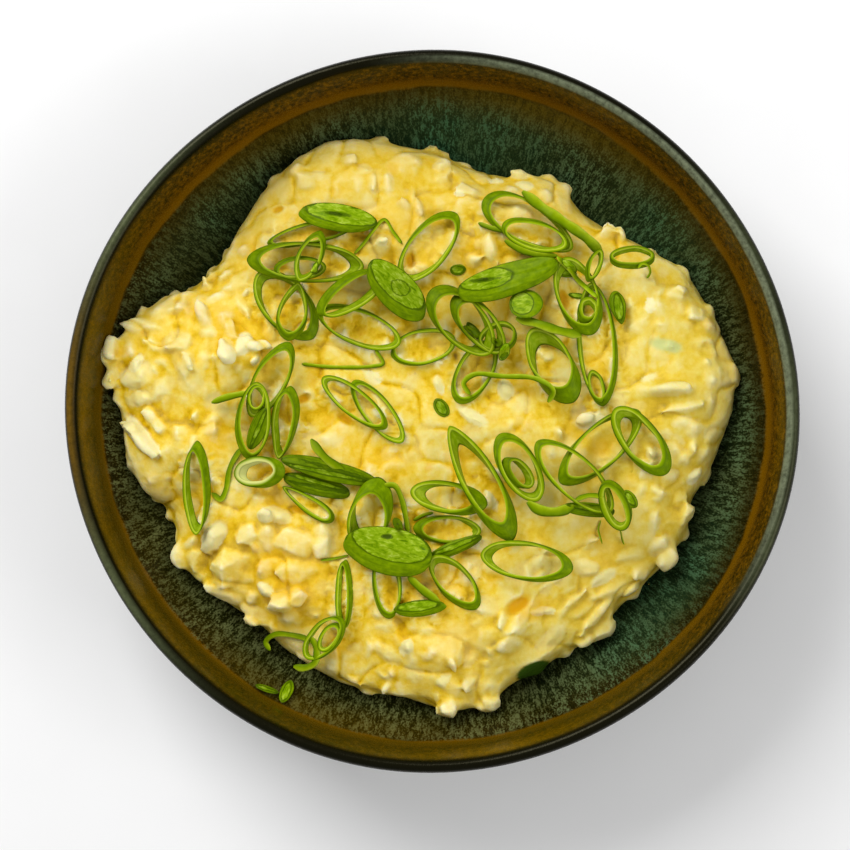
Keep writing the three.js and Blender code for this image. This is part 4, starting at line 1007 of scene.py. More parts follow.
class Slice:
    """A slice: its middle, half sizes, and the turn of its long axis from +X.

    lean: how far the skin shows past the cut face along the long and the short axis, tone: from dark 0 to
    pale 1, point: 0 for an oval, more for pointed ends, skew: fuller towards the end that turn points to,
    milky: how white the inner wall is. On flattened slices, face is the pale oval of the cut and mark a slit
    or a small ring in it, both as [along, across, half length, half width, turn], and hole is 1 where the
    mark is a dark slit."""

    def __init__(
        self, x, y, half_length, half_width, turn, lean, tone, point=0, skew=0, wall=ONION_WALL, milky=0.0,
        face=None, mark=None, hole=1.0,
    ):
        self.at, self.half, self.turn = (x, y), (half_length, half_width), math.radians(turn)
        self.lean, self.tone, self.point, self.skew = lean, tone, point, skew
        self.wall, self.milky = wall, milky
        self.face = face or (0, 0, half_length * 0.7, half_width * 0.6, 0)
        self.mark, self.hole = mark, hole

    def outline(self, t, inset, drift):
        """A point of the outline in the slice's own axes, before it leans."""
        a, b = [half - abs(lean) / 2 - inset + drift for half, lean in zip(self.half, self.lean)]
        across = math.sin(t)
        return a * math.cos(t), b * across * abs(across) ** self.point * (1 + self.skew * math.cos(t))

    def placed(self, u, v, side):
        """Where a point lies seen from above: side is -1 on the cut face and 1 at the bottom."""
        u, v = u + side * self.lean[0] / 2, v + side * self.lean[1] / 2
        c, s = math.cos(self.turn), math.sin(self.turn)
        return self.at[0] + u * c - v * s, self.at[1] + u * s + v * c

    def rim_line(self, t):
        """How strong the dark line along the cut's edge is: it fades where the skin shows wide beside it."""
        across, up = math.cos(t) / self.half[0], math.sin(t) / self.half[1]
        shown = (self.lean[0] * across + self.lean[1] * up) / math.hypot(across, up)
        return 1 - 0.85 * float(smooth_step(shown, 0.3, 1.2))


# Slices cut across the hollow leaf.
RINGS = {
    "a2": Slice(-33, 49.9, 13.4, 3.2, 12, (-1, 0), 0.4, point=0.15),
    "a6": Slice(-40.6, 29.6, 12.2, 6.6, -50, (2.4, 0), 0.4, point=0.2),
    "a7": Slice(-38.4, 27.6, 8.6, 4, 80, (-1.6, 0), 0.35, point=0.3, skew=-0.25),
    "a3": Slice(-35, 41.2, 16.6, 5.8, -4, (-3.4, 0), 0.32, point=0.12),
    "a4": Slice(-36.4, 39.6, 7.4, 3.6, 4, (-0.8, 0.6), 0.15),
    "a5": Slice(-33.4, 42.6, 8, 3.6, 68, (1.6, 0), 0.35, point=0.3),
    "b2": Slice(-0.6, 45.9, 12.4, 5.9, 50, (1.9, 0.6), 0.55, point=0.08),
    "b5": Slice(-2.4, 18, 9.4, 5, 12, (-0.8, 0), 0.65),
    "b4": Slice(-20, 23.3, 12.4, 5.3, -20, (-1.4, 0.5), 0.5, point=0.05),
    "b3": Slice(-22, 32.4, 11, 5, 34, (-1.4, 1.8), 0.4, point=0.1),
    "c2": Slice(27, 52.2, 14.4, 5.9, -30, (-2.2, 0), 0.42, skew=-0.2),
    "c3": Slice(28.8, 48.6, 9.6, 4.5, -16, (-1, 0.6), 0.6),
    "d8": Slice(46.1, 18.2, 17.4, 5.7, -86, (1.6, 0.6), 0.5, point=0.15),
    "d8b": Slice(45.9, 6.2, 5.2, 2.3, -74, (0.8, 0), 0.35, point=0.1),
    "d9": Slice(33.7, 12.4, 12, 5.7, -60, (4.6, 0), 0.5, point=0.12, skew=0.1),
    "d1": Slice(40.8, 31.4, 11.4, 5.9, -70, (2.6, 0), 0.5, point=0.05),
    "d3": Slice(43.6, 27.4, 4, 3, 78, (-1.4, 0), 0.4, wall=1.2),
    "d4": Slice(45.3, 39.8, 5, 2.2, 70, (-0.8, 0.5), 0.35, point=0.15),
    "d5": Slice(55.8, 42, 6.3, 3.3, 3, (0, -1), 0.3),
    "g1": Slice(12, 10.9, 10, 5, 61, (-1.4, 0), 0.58),
    "c8a": Slice(8.6, 24.6, 12.4, 6.3, -47, (-3.2, 0), 0.25, skew=-0.1),
    "c8b": Slice(13.3, 23.8, 10.6, 4.8, -50, (-3, 0), 0.2, skew=-0.1),
    "c8d": Slice(18.6, 20, 5.3, 4.6, 20, (0, -0.9), 0.12),
    "e1": Slice(-44.6, 8.5, 11.8, 4.9, 60, (2, 0.5), 0.5, point=0.12),
    "e3": Slice(-40.7, -3.4, 10.4, 3.7, 82, (1.8, -1), 0.5, point=0.2, skew=0.25),
    "e2": Slice(-49.2, -3, 10.9, 5.1, 85, (-1.2, 0.8), 0.4, point=0.08),
    "e2b": Slice(-48.1, 3.4, 3.5, 2.6, 80, (0, 0), 0.6, wall=0.8),
    "e6": Slice(-65.2, -21.5, 13.2, 4, 92, (2.4, -1.2), 0.5, point=0.2),
    "e8e": Slice(-34.2, -25.9, 8.6, 2.4, -34, (0.9, 0), 0.5, skew=0.4),
    "e5": Slice(-47.4, -17.2, 7.3, 4.5, 8, (2.2, -0.6), 0.6, wall=1.5, milky=0.8),
    "f2b": Slice(-15, -0.2, 11.3, 4, -51, (-1.2, 0), 0.62, point=0.05),
    "f2a": Slice(-21.4, 2.3, 11.5, 3.9, -38, (1.2, 0), 0.65, point=0.05),
    "f6": Slice(-16.8, -29, 10.8, 5.9, 80, (4.4, -0.8), 0.55, point=0.08),
    "k6": Slice(4.5, -33.1, 9.6, 3.9, -2, (-2.2, 0), 0.32, point=0.05),
    "g6": Slice(5, -24.3, 10.9, 4.5, -10, (3.4, 0), 0.5, wall=1.2, point=0.08),
    "g3": Slice(13.9, -20.2, 18.2, 5.2, -61, (5, 0), 0.5, wall=1.2, point=0.2, skew=0.2),
    "g4": Slice(24.4, -16, 10.8, 5.3, -60, (-2, 0), 0.45, wall=1.2, point=0.08),
    "g4b": Slice(24.1, -17.6, 5.6, 3.5, -52, (-1.4, -1.4), 0.15),
    "h3": Slice(46.7, -10.4, 15, 5.8, 42, (-2.8, 0), 0.5, point=0.1),
    "h1": Slice(39.5, -18.6, 14.2, 5.7, -43, (-1.6, 0), 0.5, point=0.12),
    "h4": Slice(58, -8.8, 11.7, 5.3, -51, (2.6, 0), 0.5, wall=1.4),
    "h5": Slice(50.6, -26.6, 7.3, 4.3, -66, (-0.8, 0.8), 0.35, wall=1.6),
    "k1": Slice(-24.2, -51.2, 9.8, 2.6, 90, (0.8, -0.9), 0.6, point=0.15),
    "k2": Slice(-12.2, -48.4, 9.4, 4.2, 95, (-1.2, 0.4), 0.55),
    "k5": Slice(6.6, -47.6, 9.8, 4.8, -46, (1.8, -0.6), 0.5, point=0.12),
    "k9": Slice(26.5, -41.8, 13, 5.5, -8, (2.6, -0.4), 0.6, point=0.05),
    "l1": Slice(-29.7, -63.1, 7.7, 4.3, 48, (0.8, -0.5), 0.6),
    "l2": Slice(-28.2, -62.8, 4.6, 2.6, 56, (0.6, 0), 0.7),
}
# Flattened slices and cut leaf ends, solid from side to side.
LEAVES = {
    "a1": Slice(
        -26, 53.6, 11.2, 3.9, -10, (-1, -1.4), 0.62, point=0.1,
        face=(0.6, 0.4, 9.6, 2.7, 0), mark=(-0.6, 0.2, 3, 0.5, 4),
    ),
    "b3b": Slice(
        -9.4, 33, 10.6, 5.4, -43, (1.2, -1.8), 0.45, hole=0.12,
        face=(-0.4, 0.8, 9, 4, 0), mark=(0.9, 0.4, 2.6, 1.9, 20),
    ),
    "c7": Slice(
        21.6, 36, 14.3, 4.7, 17, (0, -1.8), 0.5, skew=-0.1,
        face=(-6, 1, 7.4, 2.8, -6), mark=(-6.6, 1, 2.8, 0.45, -8),
    ),
    "c9": Slice(26.4, 29.2, 4.6, 4.2, 0, (0, 0.4), 0.55, face=(-1, 0.3, 3, 3, 0)),
    "d2": Slice(37.8, 38.3, 2.8, 1.2, -5, (0, 0), 0.3, face=(0, 0, 1.6, 0.5, 0)),
    "d7": Slice(
        51.9, 28.4, 4.9, 2.2, 98, (0.8, 0.5), 0.35, point=0.1, skew=0.3, face=(0.3, 0.1, 3.5, 1.1, 0),
    ),
    "e2c": Slice(-47.8, -4.9, 6.3, 2.5, 66, (0, 0.8), 0.2, point=0.05, face=(0, 0.2, 4.6, 0.5, 0)),
    "e8b": Slice(
        -31.8, -20.9, 9.6, 2.8, -14, (0.4, -1.2), 0.15, hole=0.5,
        face=(-0.6, 0.5, 7.4, 0.5, -2), mark=(1, -0.9, 6, 0.35, 3),
    ),
    "e8a": Slice(
        -28.4, -16.6, 13.4, 3, -14, (0.4, 1), 0.12, point=0.1, hole=0.5,
        face=(-1, -0.4, 10, 0.55, 2), mark=(2, 1, 7, 0.4, -2),
    ),
    "k3": Slice(-3, -54.8, 7.3, 2.4, 7, (0.8, -1), 0.65, point=0.15, face=(0, 0.2, 5.4, 1.3, 0)),
    "k8": Slice(6.6, -38.1, 8, 1.9, 22, (0, -0.6), 0.5, point=0.1, face=(0, 0.1, 6.4, 0.6, 0)),
    "h8": Slice(54.7, -24.9, 2.8, 1.7, -56, (0, 0), 0.5, face=(0, 0, 1.8, 0.8, 0)),
    "h6": Slice(43.6, -27.7, 7, 2, -6, (0, -0.8), 0.5, face=(0, 0.2, 5.2, 0.7, 0)),
    "j1": Slice(
        -11.8, -39, 12.4, 6.6, -13, (-0.4, -2), 0.55, skew=0.12,
        face=(0.3, 1.2, 10.6, 4.6, -2), mark=(-1.2, 2.9, 1.2, 0.55, 10),
    ),
    "m1": Slice(-45.9, -77.3, 3.3, 0.8, -20, (0, 0), 0.3, face=(0, 0, 2.2, 0.25, 0)),
    "m2": Slice(-40.7, -78.1, 3, 1.7, 74, (0, 0), 0.6, point=0.1, face=(0, 0, 2.2, 0.9, 0)),
}
# Shreds: a line through the middle, the width and the tone.
STRIPS = {
    "b1": ([(-21.5, 44), (-16.2, 50), (-13, 53.5), (-10.6, 50), (-8.2, 46.8)], 0.9, 0.6),
    "c4": ([(25.5, 61), (30.4, 56.8), (37, 52), (43.4, 47.6), (47.8, 43.4)], 2.7, 0.45),
    "c5": ([(13.2, 52.5), (16.4, 51.1), (20.8, 50)], 1.4, 0.2),
    "c6": ([(20.6, 47.2), (25.4, 44.4), (30.5, 42.9), (35.2, 42.8)], 1.9, 0.3),
    "c10": ([(23.6, 25.4), (28.6, 24), (34.6, 21.9), (41.6, 20.3)], 2.4, 0.4),
    "e4": ([(-61, 2.2), (-57, 3.5), (-50.6, 4.8)], 1.8, 0.4),
    "e7": ([(-53, -10), (-56, -15.6), (-57.3, -22), (-58.8, -24.6), (-61.4, -22.8)], 1.5, 0.5),
    "e8c": ([(-33.4, -8), (-30.8, -11.6), (-27.6, -14.6), (-24, -16.6)], 2.2, 0.25),
    "f1": ([(-36.3, 13.3), (-27, 12.4), (-17, 12.6), (-13.6, 13.4), (-15.7, 17.2)], 1.0, 0.5),
    "f7": ([(-13.8, -21.2), (-10.2, -20.9), (-8.2, -24.4), (-6.3, -34)], 1.5, 0.3),
    "g2": ([(10.8, 4.4), (9, 7.6), (12, 10), (20, 9.4), (29, 8.5), (33.9, 5), (32.4, 1.9)], 1.4, 0.45),
    "h7": ([(26.6, -25.6), (30, -27.8), (34.6, -28.3), (39.6, -26.8)], 2.7, 0.4),
    "h9": ([(39.8, -25), (43.4, -23.9), (47.4, -24.2)], 1.4, 0.5),
    "k4": ([(-6.2, -46), (-2.4, -49.6), (2.4, -53)], 2.2, 0.35),
    "l3": ([(-33.4, -62.8), (-31.8, -66), (-32.4, -70), (-35.4, -71.4), (-38.4, -71)], 1.9, 0.4),
    "l6": ([(-46, -67), (-47.2, -64.6), (-44.2, -62.4), (-37, -62.9), (-32, -64.8)], 1.5, 0.5),
}
# Bits that lie on the egg: [x, y, half length, half width, turn, tone].
BITS = [
    (7.4, 39.6, 2.2, 1.5, 5, 0.5), (2.7, 1, 2.9, 1.9, -57, 0.3), (40.8, 32, 2.6, 0.8, -10, 0.8),
    (12, 22.4, 3.2, 1.2, -50, 0.3),
]
# The slices that share another one's node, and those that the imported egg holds.
STUCK = {
    "a3": ["a4"], "c2": ["c5"], "c3": ["c6"], "c8a": ["c8b", "c8d"], "d1": ["d3"], "d8": ["d8b"],
    "e2": ["e4", "e2b", "e2c"], "e8a": ["e8c"], "f6": ["f7"], "g4": ["g4b"], "h5": ["h8", "h9"],
    "h7": ["h6"], "k3": ["k4"], "l1": ["l2", "l3"],
}
ON_EGG = ["b1", "e7", "f1", "l6"]
# Tails and curls that hang off the slices: a line, the width and the tone.
TAILS = [
    ([(47, -30.5), (46.3, -33), (47.3, -37)], 0.5, 0.5),
    ([(51.8, -33), (52.6, -35), (53.5, -37.3)], 0.5, 0.5),
    ([(-23, -40.2), (-27.5, -41.2), (-30.8, -41.6)], 0.7, 0.4),
    ([(57.3, 38.9), (58.4, 40.2), (60.2, 39.8), (60.9, 38.2), (60, 36.8)], 0.7, 0.8),
    ([(35, 42), (38.5, 38.8), (42, 35.2), (46, 31)], 1.3, 1.0),
    ([(-5, -30.5), (-2, -29), (0.6, -28.4)], 1.0, 0.15),
]
# Scraps: [x, y, half length, half width, turn, tone, share of the pale face].
SCRAPS = [
    (11.2, 21.9, 2.7, 1.1, -36, 0.0, 0.01), (18.2, 18.6, 1.7, 1.0, -30, 0.0, 0.01),
    (20.4, 16.0, 2.4, 1.3, 60, 1.0, 0.9), (-9.2, -31.6, 2.0, 1.2, 120, 0.0, 0.01),
    (-32.0, 39.4, 1.9, 1.1, 78, 0.9, 0.9), (38.4, 39.6, 2.4, 1.0, -32, 1.0, 0.9),
]
# The cross-section of a ring, from the outer bottom up over the cut face to the inner bottom: share of the
# wall inwards, height above the bottom as a share, skin, inside and edge.
RING_SECTION = [
    (0.10, 0.00, 1, 0, 1.0), (0.0, 0.05, 1, 0, 1.0), (-0.02, 0.13, 1, 0, 0.15), (-0.03, 0.38, 1, 0, 0),
    (-0.03, 0.64, 1, 0, 0), (-0.02, 0.84, 1, 0, 0.15), (0.0, 0.91, 1, 0, 1.0), (0.1, 0.975, 0, 0, 0.8),
    (0.26, 1.0, 0, 0, 0), (0.5, 0.985, 0, 0, 0), (0.76, 1.0, 0, 0, 0), (0.93, 0.965, 0, 0, 0),
    (1.0, 0.88, 0, 1, 0.45), (1.02, 0.78, 0, 1, 0), (1.03, 0.5, 0, 1, 0), (1.01, 0.16, 0, 1, 0.1),
    (1.0, 0.07, 0, 1, 0.9), (0.9, 0.0, 0, 1, 1.0),
]
# The side of a leaf from the top down: share of the outline, depth as a share, and edge.
LEAF_SIDE = [(1.01, 0.1, 0.5), (1.012, 0.3, 0.0), (1.012, 0.75, 0.1), (1.0, 0.9, 1.0), (0.97, 1.0, 1.0)]
# The cross-section of a strip: shares of its half width and of its height below the top.
STRIP_SECTION = [
    (-1, -0.9), (-1.04, -0.5), (-0.96, -0.12), (-0.5, 0), (0.5, 0), (0.96, -0.12), (1.04, -0.5), (1, -0.9),
]
# What each point of a slice says. skin: 1 on the outside of the leaf, inside: 1 on the inner wall,
# depth: from 0 at the outer edge of the cut wall to 1 at its inner edge, tone, milky and hole: as for the
# slice, solid: 1 on flattened slices, face: distance in millimetres into the pale cut face, mark: the same
# for the mark in it, edge: 1 along the thin dark lines.
LOOKS = ["skin", "inside", "depth", "tone", "milky", "solid", "face", "mark", "hole", "edge"]


class Pieces:
    """Points, faces and looks of the bodies that go into one object."""

    def __init__(self):
        self.points, self.faces, self.looks, self.grain = [], [], [], []
        self.start = 0

    def put(self, place, grain, **looks):
        """A point with its place in the grain of the leaf. Looks that aren't given are 0."""
        self.points.append(place)
        self.grain.append(grain)
        self.looks.append([looks.get(name, 0.0) for name in LOOKS])

    def close(self, faces):
        """Ends a body. Its faces count from its own first point."""
        for face in turned_out(self.points[self.start:], faces):
            self.faces.append(tuple(i + self.start for i in face))
        self.start = len(self.points)

    def build(self, name):
        made = shown_mesh(name, self.points, self.faces)
        for look, values in zip(LOOKS, zip(*self.looks)):
            add_attribute(made.data, look, values)
        add_attribute(made.data, "grain", self.grain, "FLOAT_VECTOR")
        return made


def heights_on(tree, places, fallback):
    """The top of a solid at each place, with gaps filled from the nearest."""
    hits = [seen_from_above(tree, x, y) for x, y in places]
    known = [i for i, hit in enumerate(hits) if hit]
    if not known:
        return [fallback] * len(places)
    out = []
    for place, hit in zip(places, hits):
        hit = hit or hits[min(known, key=lambda k: math.dist(places[k], place))]
        out.append(hit[0][2])
    return out


def smoothed(values, rounds, closed):
    for _ in range(rounds):
        before, after = np.roll(values, 1), np.roll(values, -1)
        if not closed:
            before[0], after[-1] = values[0], values[-1]
        values = (before + 2 * np.array(values, float) + after) / 4
    return values


def seeded(key):
    return np.random.default_rng(sum((i + 3) * ord(c) for i, c in enumerate(key)) + 11)


def wobble(rng):
    """A closed wave of a few terms."""
    parts = [(n, rng.uniform(0, 2 * math.pi), rng.uniform(0.4, 1) / n) for n in WAVES]
    return lambda t: sum(size * math.sin(n * t + start) for n, start, size in parts)


def ring_piece(pieces, key, tree):
    """A hollow slice: a rounded cross-section carried round its outline."""
    cut = RINGS[key]
    rng = seeded(key)
    # One number is passed over, because the shapes hang on the order of the draws.
    rng.uniform()
    waver, thick = wobble(rng), wobble(rng)
    sections = 56 if cut.half[0] < SMALL_RING else 84
    thickness = max(ONION_THICKNESS, 0.5 + 0.42 * math.hypot(*cut.lean))
    angles = [2 * math.pi * i / sections for i in range(sections)]

    def placed(t, inset, side):
        return cut.placed(*cut.outline(t, inset, 0.16 * waver(t)), side)

    tops = smoothed(heights_on(tree, [placed(t, cut.wall / 2, -1) for t in angles], SLICE_TOP), 5, True)
    around = 0.0
    for i, t in enumerate(angles):
        if i:
            around += math.dist(placed(angles[i - 1], 0, 0), placed(t, 0, 0))
        wall = cut.wall * (1 + 0.22 * thick(t))
        for share, high, skin, inside, edge in RING_SECTION:
            x, y = placed(t, share * wall, 1 - 2 * high)
            outer_rim = 0.9 < high < 0.98 and share < 0.5
            pieces.put(
                (x, y, tops[i] - thickness * (1 - high)), (high * thickness * 2, around, share * 2),
                skin=skin, inside=inside, edge=edge * cut.rim_line(t) if outer_rim else edge,
                depth=min(max(share, 0), 1), tone=cut.tone, milky=cut.milky,
            )
    pieces.close(carried(sections, len(RING_SECTION), True))


def leaf_piece(pieces, key, tree, cut=None, on_top=False):
    """A flattened slice, solid from side to side."""
    cut = cut or LEAVES[key]
    large = cut.half[0] > SMALL_LEAF
    rings, sections = (20, 112) if large else (10, 60)
    thickness = max(0.75 if large else 0.6, 0.5 * math.hypot(*cut.lean))
    waver = wobble(seeded(key))
    angles = [2 * math.pi * i / sections for i in range(sections)]
    shares = [k / rings for k in range(1, rings + 1)]

    def flat(t, share):
        u, v = cut.outline(t, 0, 0.2 * waver(t) * min(1, cut.half[1] / 3))
        return u * share, v * share

    def put(u, v, side, z, skin, edge=0.0, grain=None):
        into = [inside_oval(u, v, oval) if oval and not skin else -1.0 for oval in (cut.face, cut.mark)]
        pieces.put(
            (*cut.placed(u, v, side), z), grain or (v, u, 0),
            skin=skin, tone=cut.tone, solid=1.0, face=into[0], mark=into[1], hole=cut.hole, edge=edge,
        )

    places = [cut.placed(0, 0, -1)] + [cut.placed(*flat(t, 0.94 * s), -1) for s in shares for t in angles]
    raw = np.array(heights_on(tree, places, SLICE_TOP)[1:]).reshape(rings, sections)
    tops = raw.copy()
    for _ in range(10):
        tops = (np.roll(tops, 1, 1) + 2 * tops + np.roll(tops, -1, 1)) / 4
        tops[1:-1] = (tops[:-2] + 2 * tops[1:-1] + tops[2:]) / 4
    if on_top:
        tops += max(0.0, (raw - tops).max()) + LEAF_RAISE
    put(0, 0, -1, tops[0].mean(), 0.0)
    drops = [0.0] * (rings - 2) + [0.05, 0.2]
    for k, share in enumerate(shares):
        for i, t in enumerate(angles):
            u, v = flat(t, share)
            # The cut face is a little hollow, and a slit goes deeper.
            dent = 0.16 * smooth_step(inside_oval(u, v, cut.face), -0.1, 0.5)
            if cut.mark:
                dent += 0.3 * cut.hole * smooth_step(inside_oval(u, v, cut.mark), -0.2, 0.3)
            ripple = 0.05 * math.sin(2.6 * v + 0.4 * math.sin(0.5 * u + cut.tone * 9))
            edge = 0.9 * cut.rim_line(t) if share == 1 else 0.0
            put(u, v, -1, tops[k, i] - drops[k] - dent + ripple, 0.0, edge)
    for share, down, rim in LEAF_SIDE:
        for i, t in enumerate(angles):
            u, v = flat(t, share)
            # On the side, the streaks run round the rim.
            grain = (v * 0.3 + down * math.hypot(*cut.lean) * 1.2, u, 5)
            edge = rim * cut.rim_line(t) if down < 0.2 else rim
            put(u, v, -1 + 2 * down, tops[-1, i] - 0.1 - thickness * down, 1.0, edge, grain)
    put(0, 0, 1, tops[0].mean() - thickness, 1.0)
    pieces.close(capped_rings(rings + len(LEAF_SIDE), sections))


def curve_through(line, step):
    """Points about a step apart on a smooth line through all the given ones."""
    p = [np.array(q, float) for q in line]
    p = [2 * p[0] - p[1]] + p + [2 * p[-1] - p[-2]]
    out = []
    for i in range(1, len(p) - 2):
        knots = [0.0]
        for k in range(3):
            knots.append(knots[-1] + math.sqrt(np.linalg.norm(p[i + k] - p[i + k - 1])))
        count = max(2, round(np.linalg.norm(p[i + 1] - p[i]) / step))
        for j in range(count):
            t = knots[1] + (knots[2] - knots[1]) * j / count
            # Neighbours are blended in pairs until one point is left.
            row = p[i - 1:i + 3]
            for reach in (1, 2):
                row = [blend(t, row[k], row[k + 1], knots[k], knots[k + reach]) for k in range(4 - reach)]
            out.append(blend(t, *row, knots[1], knots[2]))
    out.append(p[-2])
    return np.array(out)


def blend(t, u, v, low, high):
    return (u * (high - t) + v * (t - low)) / (high - low)


def strip_tops(tree, middle, side, width, on_top):
    """The height of a ribbon's middle line. On top of others, it clears all that lies under its width."""
    if not on_top:
        return smoothed(heights_on(tree, middle.tolist(), SHRED_TOP), 4, False)
    reach = side * max(width, 0.9) / 2
    tops = np.max([heights_on(tree, (middle + s * reach).tolist(), SHRED_TOP) for s in (-1, 0, 1)], axis=0)
    padded = np.pad(tops, 2, "edge")
    tops = np.max([padded[k:k + len(tops)] for k in range(5)], axis=0)
    return smoothed(tops, 5, False) + SHRED_RAISE


def strip_piece(pieces, key, tree, strip=None, on_top=False):
    """A ribbon along a smooth line, narrowed at both ends."""
    line, width, tone = strip or STRIPS[key]
    rng = seeded(key)
    middle = curve_through(line, STRIP_STEP)
    run = np.concatenate([[0], np.cumsum(np.linalg.norm(np.diff(middle, axis=0), axis=1))])
    ahead = np.gradient(middle, axis=0)
    ahead /= np.linalg.norm(ahead, axis=1)[:, None]
    side = np.stack([-ahead[:, 1], ahead[:, 0]], 1)
    height = min(ONION_THICKNESS, 0.5 + 0.4 * width)
    tops = strip_tops(tree, middle, side, width, on_top)
    light_side = 1 if rng.uniform(0, 1) < 0.5 else -1
    phase = rng.uniform(0, 6)
    for i, place in enumerate(middle):
        near_end = min(run[i], run[-1] - run[i]) / max(width, 0.8)
        narrow = math.sqrt(min(1, 0.1 + near_end)) * (1 + 0.08 * math.sin(run[i] * 0.9 + phase))
        for across, down in STRIP_SECTION:
            x, y = place + side[i] * across * width / 2 * narrow
            pieces.put(
                (x, y, tops[i] + down * height * min(1, 0.4 + near_end)), (across * width / 2, run[i], 0),
                tone=tone, skin=float(down < -0.3), edge=1.0 if down < -0.8 else 0.5 if down < -0.3 else 0.0,
                depth=0.9 * min(max(0.5 + 0.5 * light_side * across, 0), 1),
            )
    count, section = len(middle), len(STRIP_SECTION)
    ends = [tuple(range(section)), tuple(reversed(range((count - 1) * section, count * section)))]
    pieces.close(carried(count, section, False) + ends)


def onion_piece(pieces, key, tree):
    make = ring_piece if key in RINGS else leaf_piece if key in LEAVES else strip_piece
    make(pieces, key, tree)


def onion_material():
    n = Nodes("spring_onion")
    grain = n.attribute("grain", "Vector")
    # Streaks run with the leaf, which on a cut slice is across the rim.
    streaks = n.noise(n.scaled(grain, 1.5, 0.22, 1.2), 1.0)
    blotch = n.noise(n.scaled(grain, 0.4, 0.4, 0.8), 1.0, 3.0, 0.6)
    mottle = n.noise(n.scaled(grain, 1.15, 0.4, 1.0), 1.0, 3.0, 0.55, 0.9)
    level = n.sum(n.swing(streaks, 0.36, 0.64), n.swing(blotch, -0.3, 0.3))
    skin = n.ramp(level, [(0.0, 86, 111, 0), (0.4, 109, 139, 0), (0.7, 128, 156, 0), (1.0, 153, 176, 16)])
    cut = n.ramp(n.sum("depth", n.swing(blotch, -0.1, 0.1)), [
        (0.0, 92, 117, 0), (0.24, 113, 143, 0), (0.5, 134, 160, 0), (0.7, 157, 180, 16),
        (0.86, 182, 200, 50), (1.0, 190, 205, 68),
    ])
    inner = n.ramp(level, [(0.0, 112, 144, 0), (0.5, 138, 166, 6), (1.0, 176, 194, 50)])
    colour = n.mix("inside", n.mix("skin", cut, skin), inner)
    # Flattened slices: a pale cut face with a dark line round it, on green skin.
    into = n.sum("face", n.swing(blotch, -0.16, 0.16))
    wet = n.sum(n.swing(mottle, 0.0, 0.85), n.swing(blotch, -0.15, 0.3))
    pale = n.ramp(wet, [
        (0.0, 80, 114, 0), (0.16, 102, 138, 0), (0.36, 124, 156, 4), (0.66, 144, 174, 24),
        (1.0, 178, 200, 72),
    ])
    flat = n.mix(n.range(into, -0.05, 0.12), skin, pale)
    flat = n.tint(flat, (58, 84, 0), n.range(into, -0.42, -0.14), n.range(into, 0.12, -0.06), 0.8)
    slit = n.sum("mark", n.swing(mottle, -0.25, 0.25))
    flat = n.tint(flat, (34, 58, 0), n.range(slit, -0.05, 0.15), "hole", 0.9)
    flat = n.tint(flat, (60, 88, 0), n.range(slit, -0.3, -0.1), n.range(slit, 0.15, 0.0), 0.8)
    colour = n.mix("solid", colour, flat)
    colour = n.tint(colour, (226, 226, 140), "milky", n.range("depth", 0.3, 0.7))
    colour = n.tint(colour, (50, 78, 0), "edge", 0.85)
    shade = n.range("tone", 0, 1, 0.62, 1.22)
    return n.finished({
        "Base Color": n.add("HueSaturation", "Color", {"Value": shade, "Color": colour}),
        "Roughness": n.swing(blotch, 0.28, 0.45),
        "IOR": 1.42,
        "Specular IOR Level": 0.09,
        "Specular Tint": (1.0, 1.0, 0.5, 1.0),
        "Subsurface Weight": 0.1,
        "Subsurface Radius": (0.9, 1.0, 0.1),
        "Subsurface Scale": 0.5 * MM,
        "Normal": n.bump(n.sum(n.times(streaks, 0.3), mottle), 0.3, 0.16 * MM),
    })


# The model


def finish_piece(made, material, slot, *replaced):
    made.data.materials.clear()
    made.data.materials.append(material)
    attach(made, "root")
    if replaced:
        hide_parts(*replaced)


onion_nodes = {name.split("_", 2)[2]: name for name in nodes if name.startswith("onion_")}
slice_tree = tree_of([nodes[name] for name in onion_nodes.values()])

bowl, marks = make_bowl()
finish_piece(bowl, glaze_material(marks), "glaze", "bowl")

egg = make_egg(tree_of([nodes["egg_spread"]]), slice_tree)
finish_piece(egg, egg_material(), "egg", "egg_spread")

green = onion_material()
slices = []
for key, name in onion_nodes.items():
    tree = tree_of([nodes[name]])
    pieces = Pieces()
    for each in [key] + STUCK.get(key, []):
        onion_piece(pieces, each, tree)
    slices.append(pieces.build("slice_" + key))
    finish_piece(slices[-1], green, "onion", name)

# Shreds and bits that stick to the egg lie on its finished top.
egg_tree = tree_of([egg])
pieces = Pieces()
for key in ON_EGG:
    strip_piece(pieces, key, egg_tree, on_top=True)
for i, (*size, tone) in enumerate(BITS):
    leaf_piece(pieces, "bit%d" % i, egg_tree, Slice(*size, (0, 0), tone), True)
shreds = pieces.build("shreds_on_egg")
finish_piece(shreds, green, "onion")

# Tails and scraps lie on everything else.
top_tree = tree_of([egg, shreds] + slices)
pieces = Pieces()
for i, tail in enumerate(TAILS):
    strip_piece(pieces, "tail%d" % i, top_tree, tail, True)
for i, (*size, tone, share) in enumerate(SCRAPS):
    face = (0, 0, size[2] * share, size[3] * share, 0)
    leaf_piece(pieces, "scrap%d" % i, top_tree, Slice(*size, (0, 0), tone, face=face), True)
finish_piece(pieces.build("loose_shreds"), green, "onion")


# Studio: a pale floor, a large soft light from the upper left, and a weaker one from the right. In metres,
# apart from the camera's place.

FLOOR_REACH = 3.0
ROOM_LIGHT = 0.42
LIGHTS_AIM = (0, 0, 0.03)
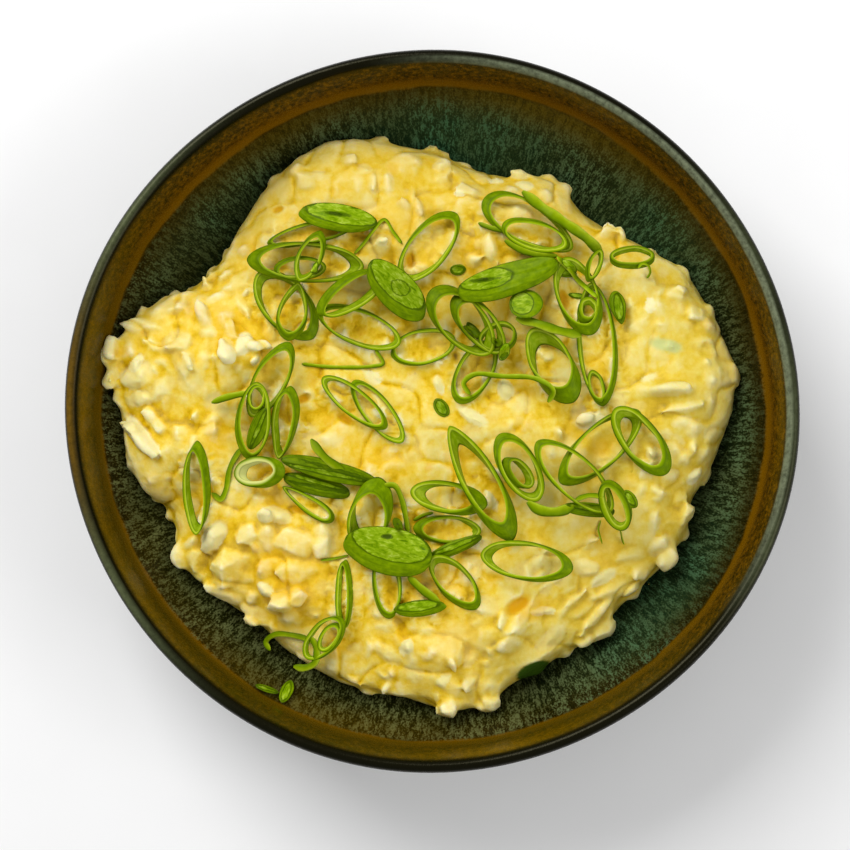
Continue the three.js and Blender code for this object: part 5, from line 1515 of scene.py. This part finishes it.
# Place, size of a side and power.
LIGHTS = {
    "key_light": ((-0.5, 0.7, 0.85), 0.7, 11.4),
    "side_light": ((0.8, -0.25, 0.7), 0.6, 4.0),
}
# In millimetres.
CAMERA_AT = (28.32, -40.18, 650.0)
# From the bowl towards the camera, 4.4 degrees off straight up.
CAMERA_BACK = (0.04904, -0.05900, 0.99705)
CAMERA_LENS = 93.33
CAMERA_SENSOR = 36.0


def make_table():
    corners = [(x * FLOOR_REACH, y * FLOOR_REACH, 0) for x, y in ((-1, -1), (1, -1), (1, 1), (-1, 1))]
    floor = new_object("table", new_mesh("table", corners, [(0, 1, 2, 3)]))
    n = Nodes("table_white")
    colour = n.mix(n.noise(n.place(), 40), srgb(244, 244, 244), srgb(248, 248, 248))
    floor.data.materials.append(n.finished({"Base Color": colour, "Roughness": 0.7}))
    floor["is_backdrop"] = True


def light_room():
    world = bpy.data.worlds.new("soft_room")
    world.use_nodes = True
    background = world.node_tree.nodes["Background"]
    background.inputs["Color"].default_value = (1, 1, 1, 1)
    background.inputs["Strength"].default_value = ROOM_LIGHT
    scene.world = world
    for name, (place, side, power) in LIGHTS.items():
        data = bpy.data.lights.new(name, "AREA")
        data.shape = "RECTANGLE"
        data.size = data.size_y = side
        data.energy = power
        made = new_object(name, data)
        made.location = place
        made.rotation_euler = (Vector(LIGHTS_AIM) - Vector(place)).to_track_quat("-Z", "Y").to_euler()


def place_camera():
    data = bpy.data.cameras.new("camera")
    data.lens = CAMERA_LENS
    data.sensor_width = CAMERA_SENSOR
    camera = new_object("camera", data)
    back = Vector(CAMERA_BACK).normalized()
    up = (Vector((0, 1, 0)) - back * back.y).normalized()
    turn = Matrix((up.cross(back), up, back)).transposed()
    camera.matrix_world = Matrix.Translation(Vector(CAMERA_AT) * MM) @ turn.to_4x4()
    scene.camera = camera
    scene.view_settings.view_transform = "Standard"


make_table()
light_room()
place_camera()

visual_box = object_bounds()
plain = lambda box: [list(map(float, corner)) for corner in box]
{"cad": plain(cad_box), "visual": plain(visual_box)}
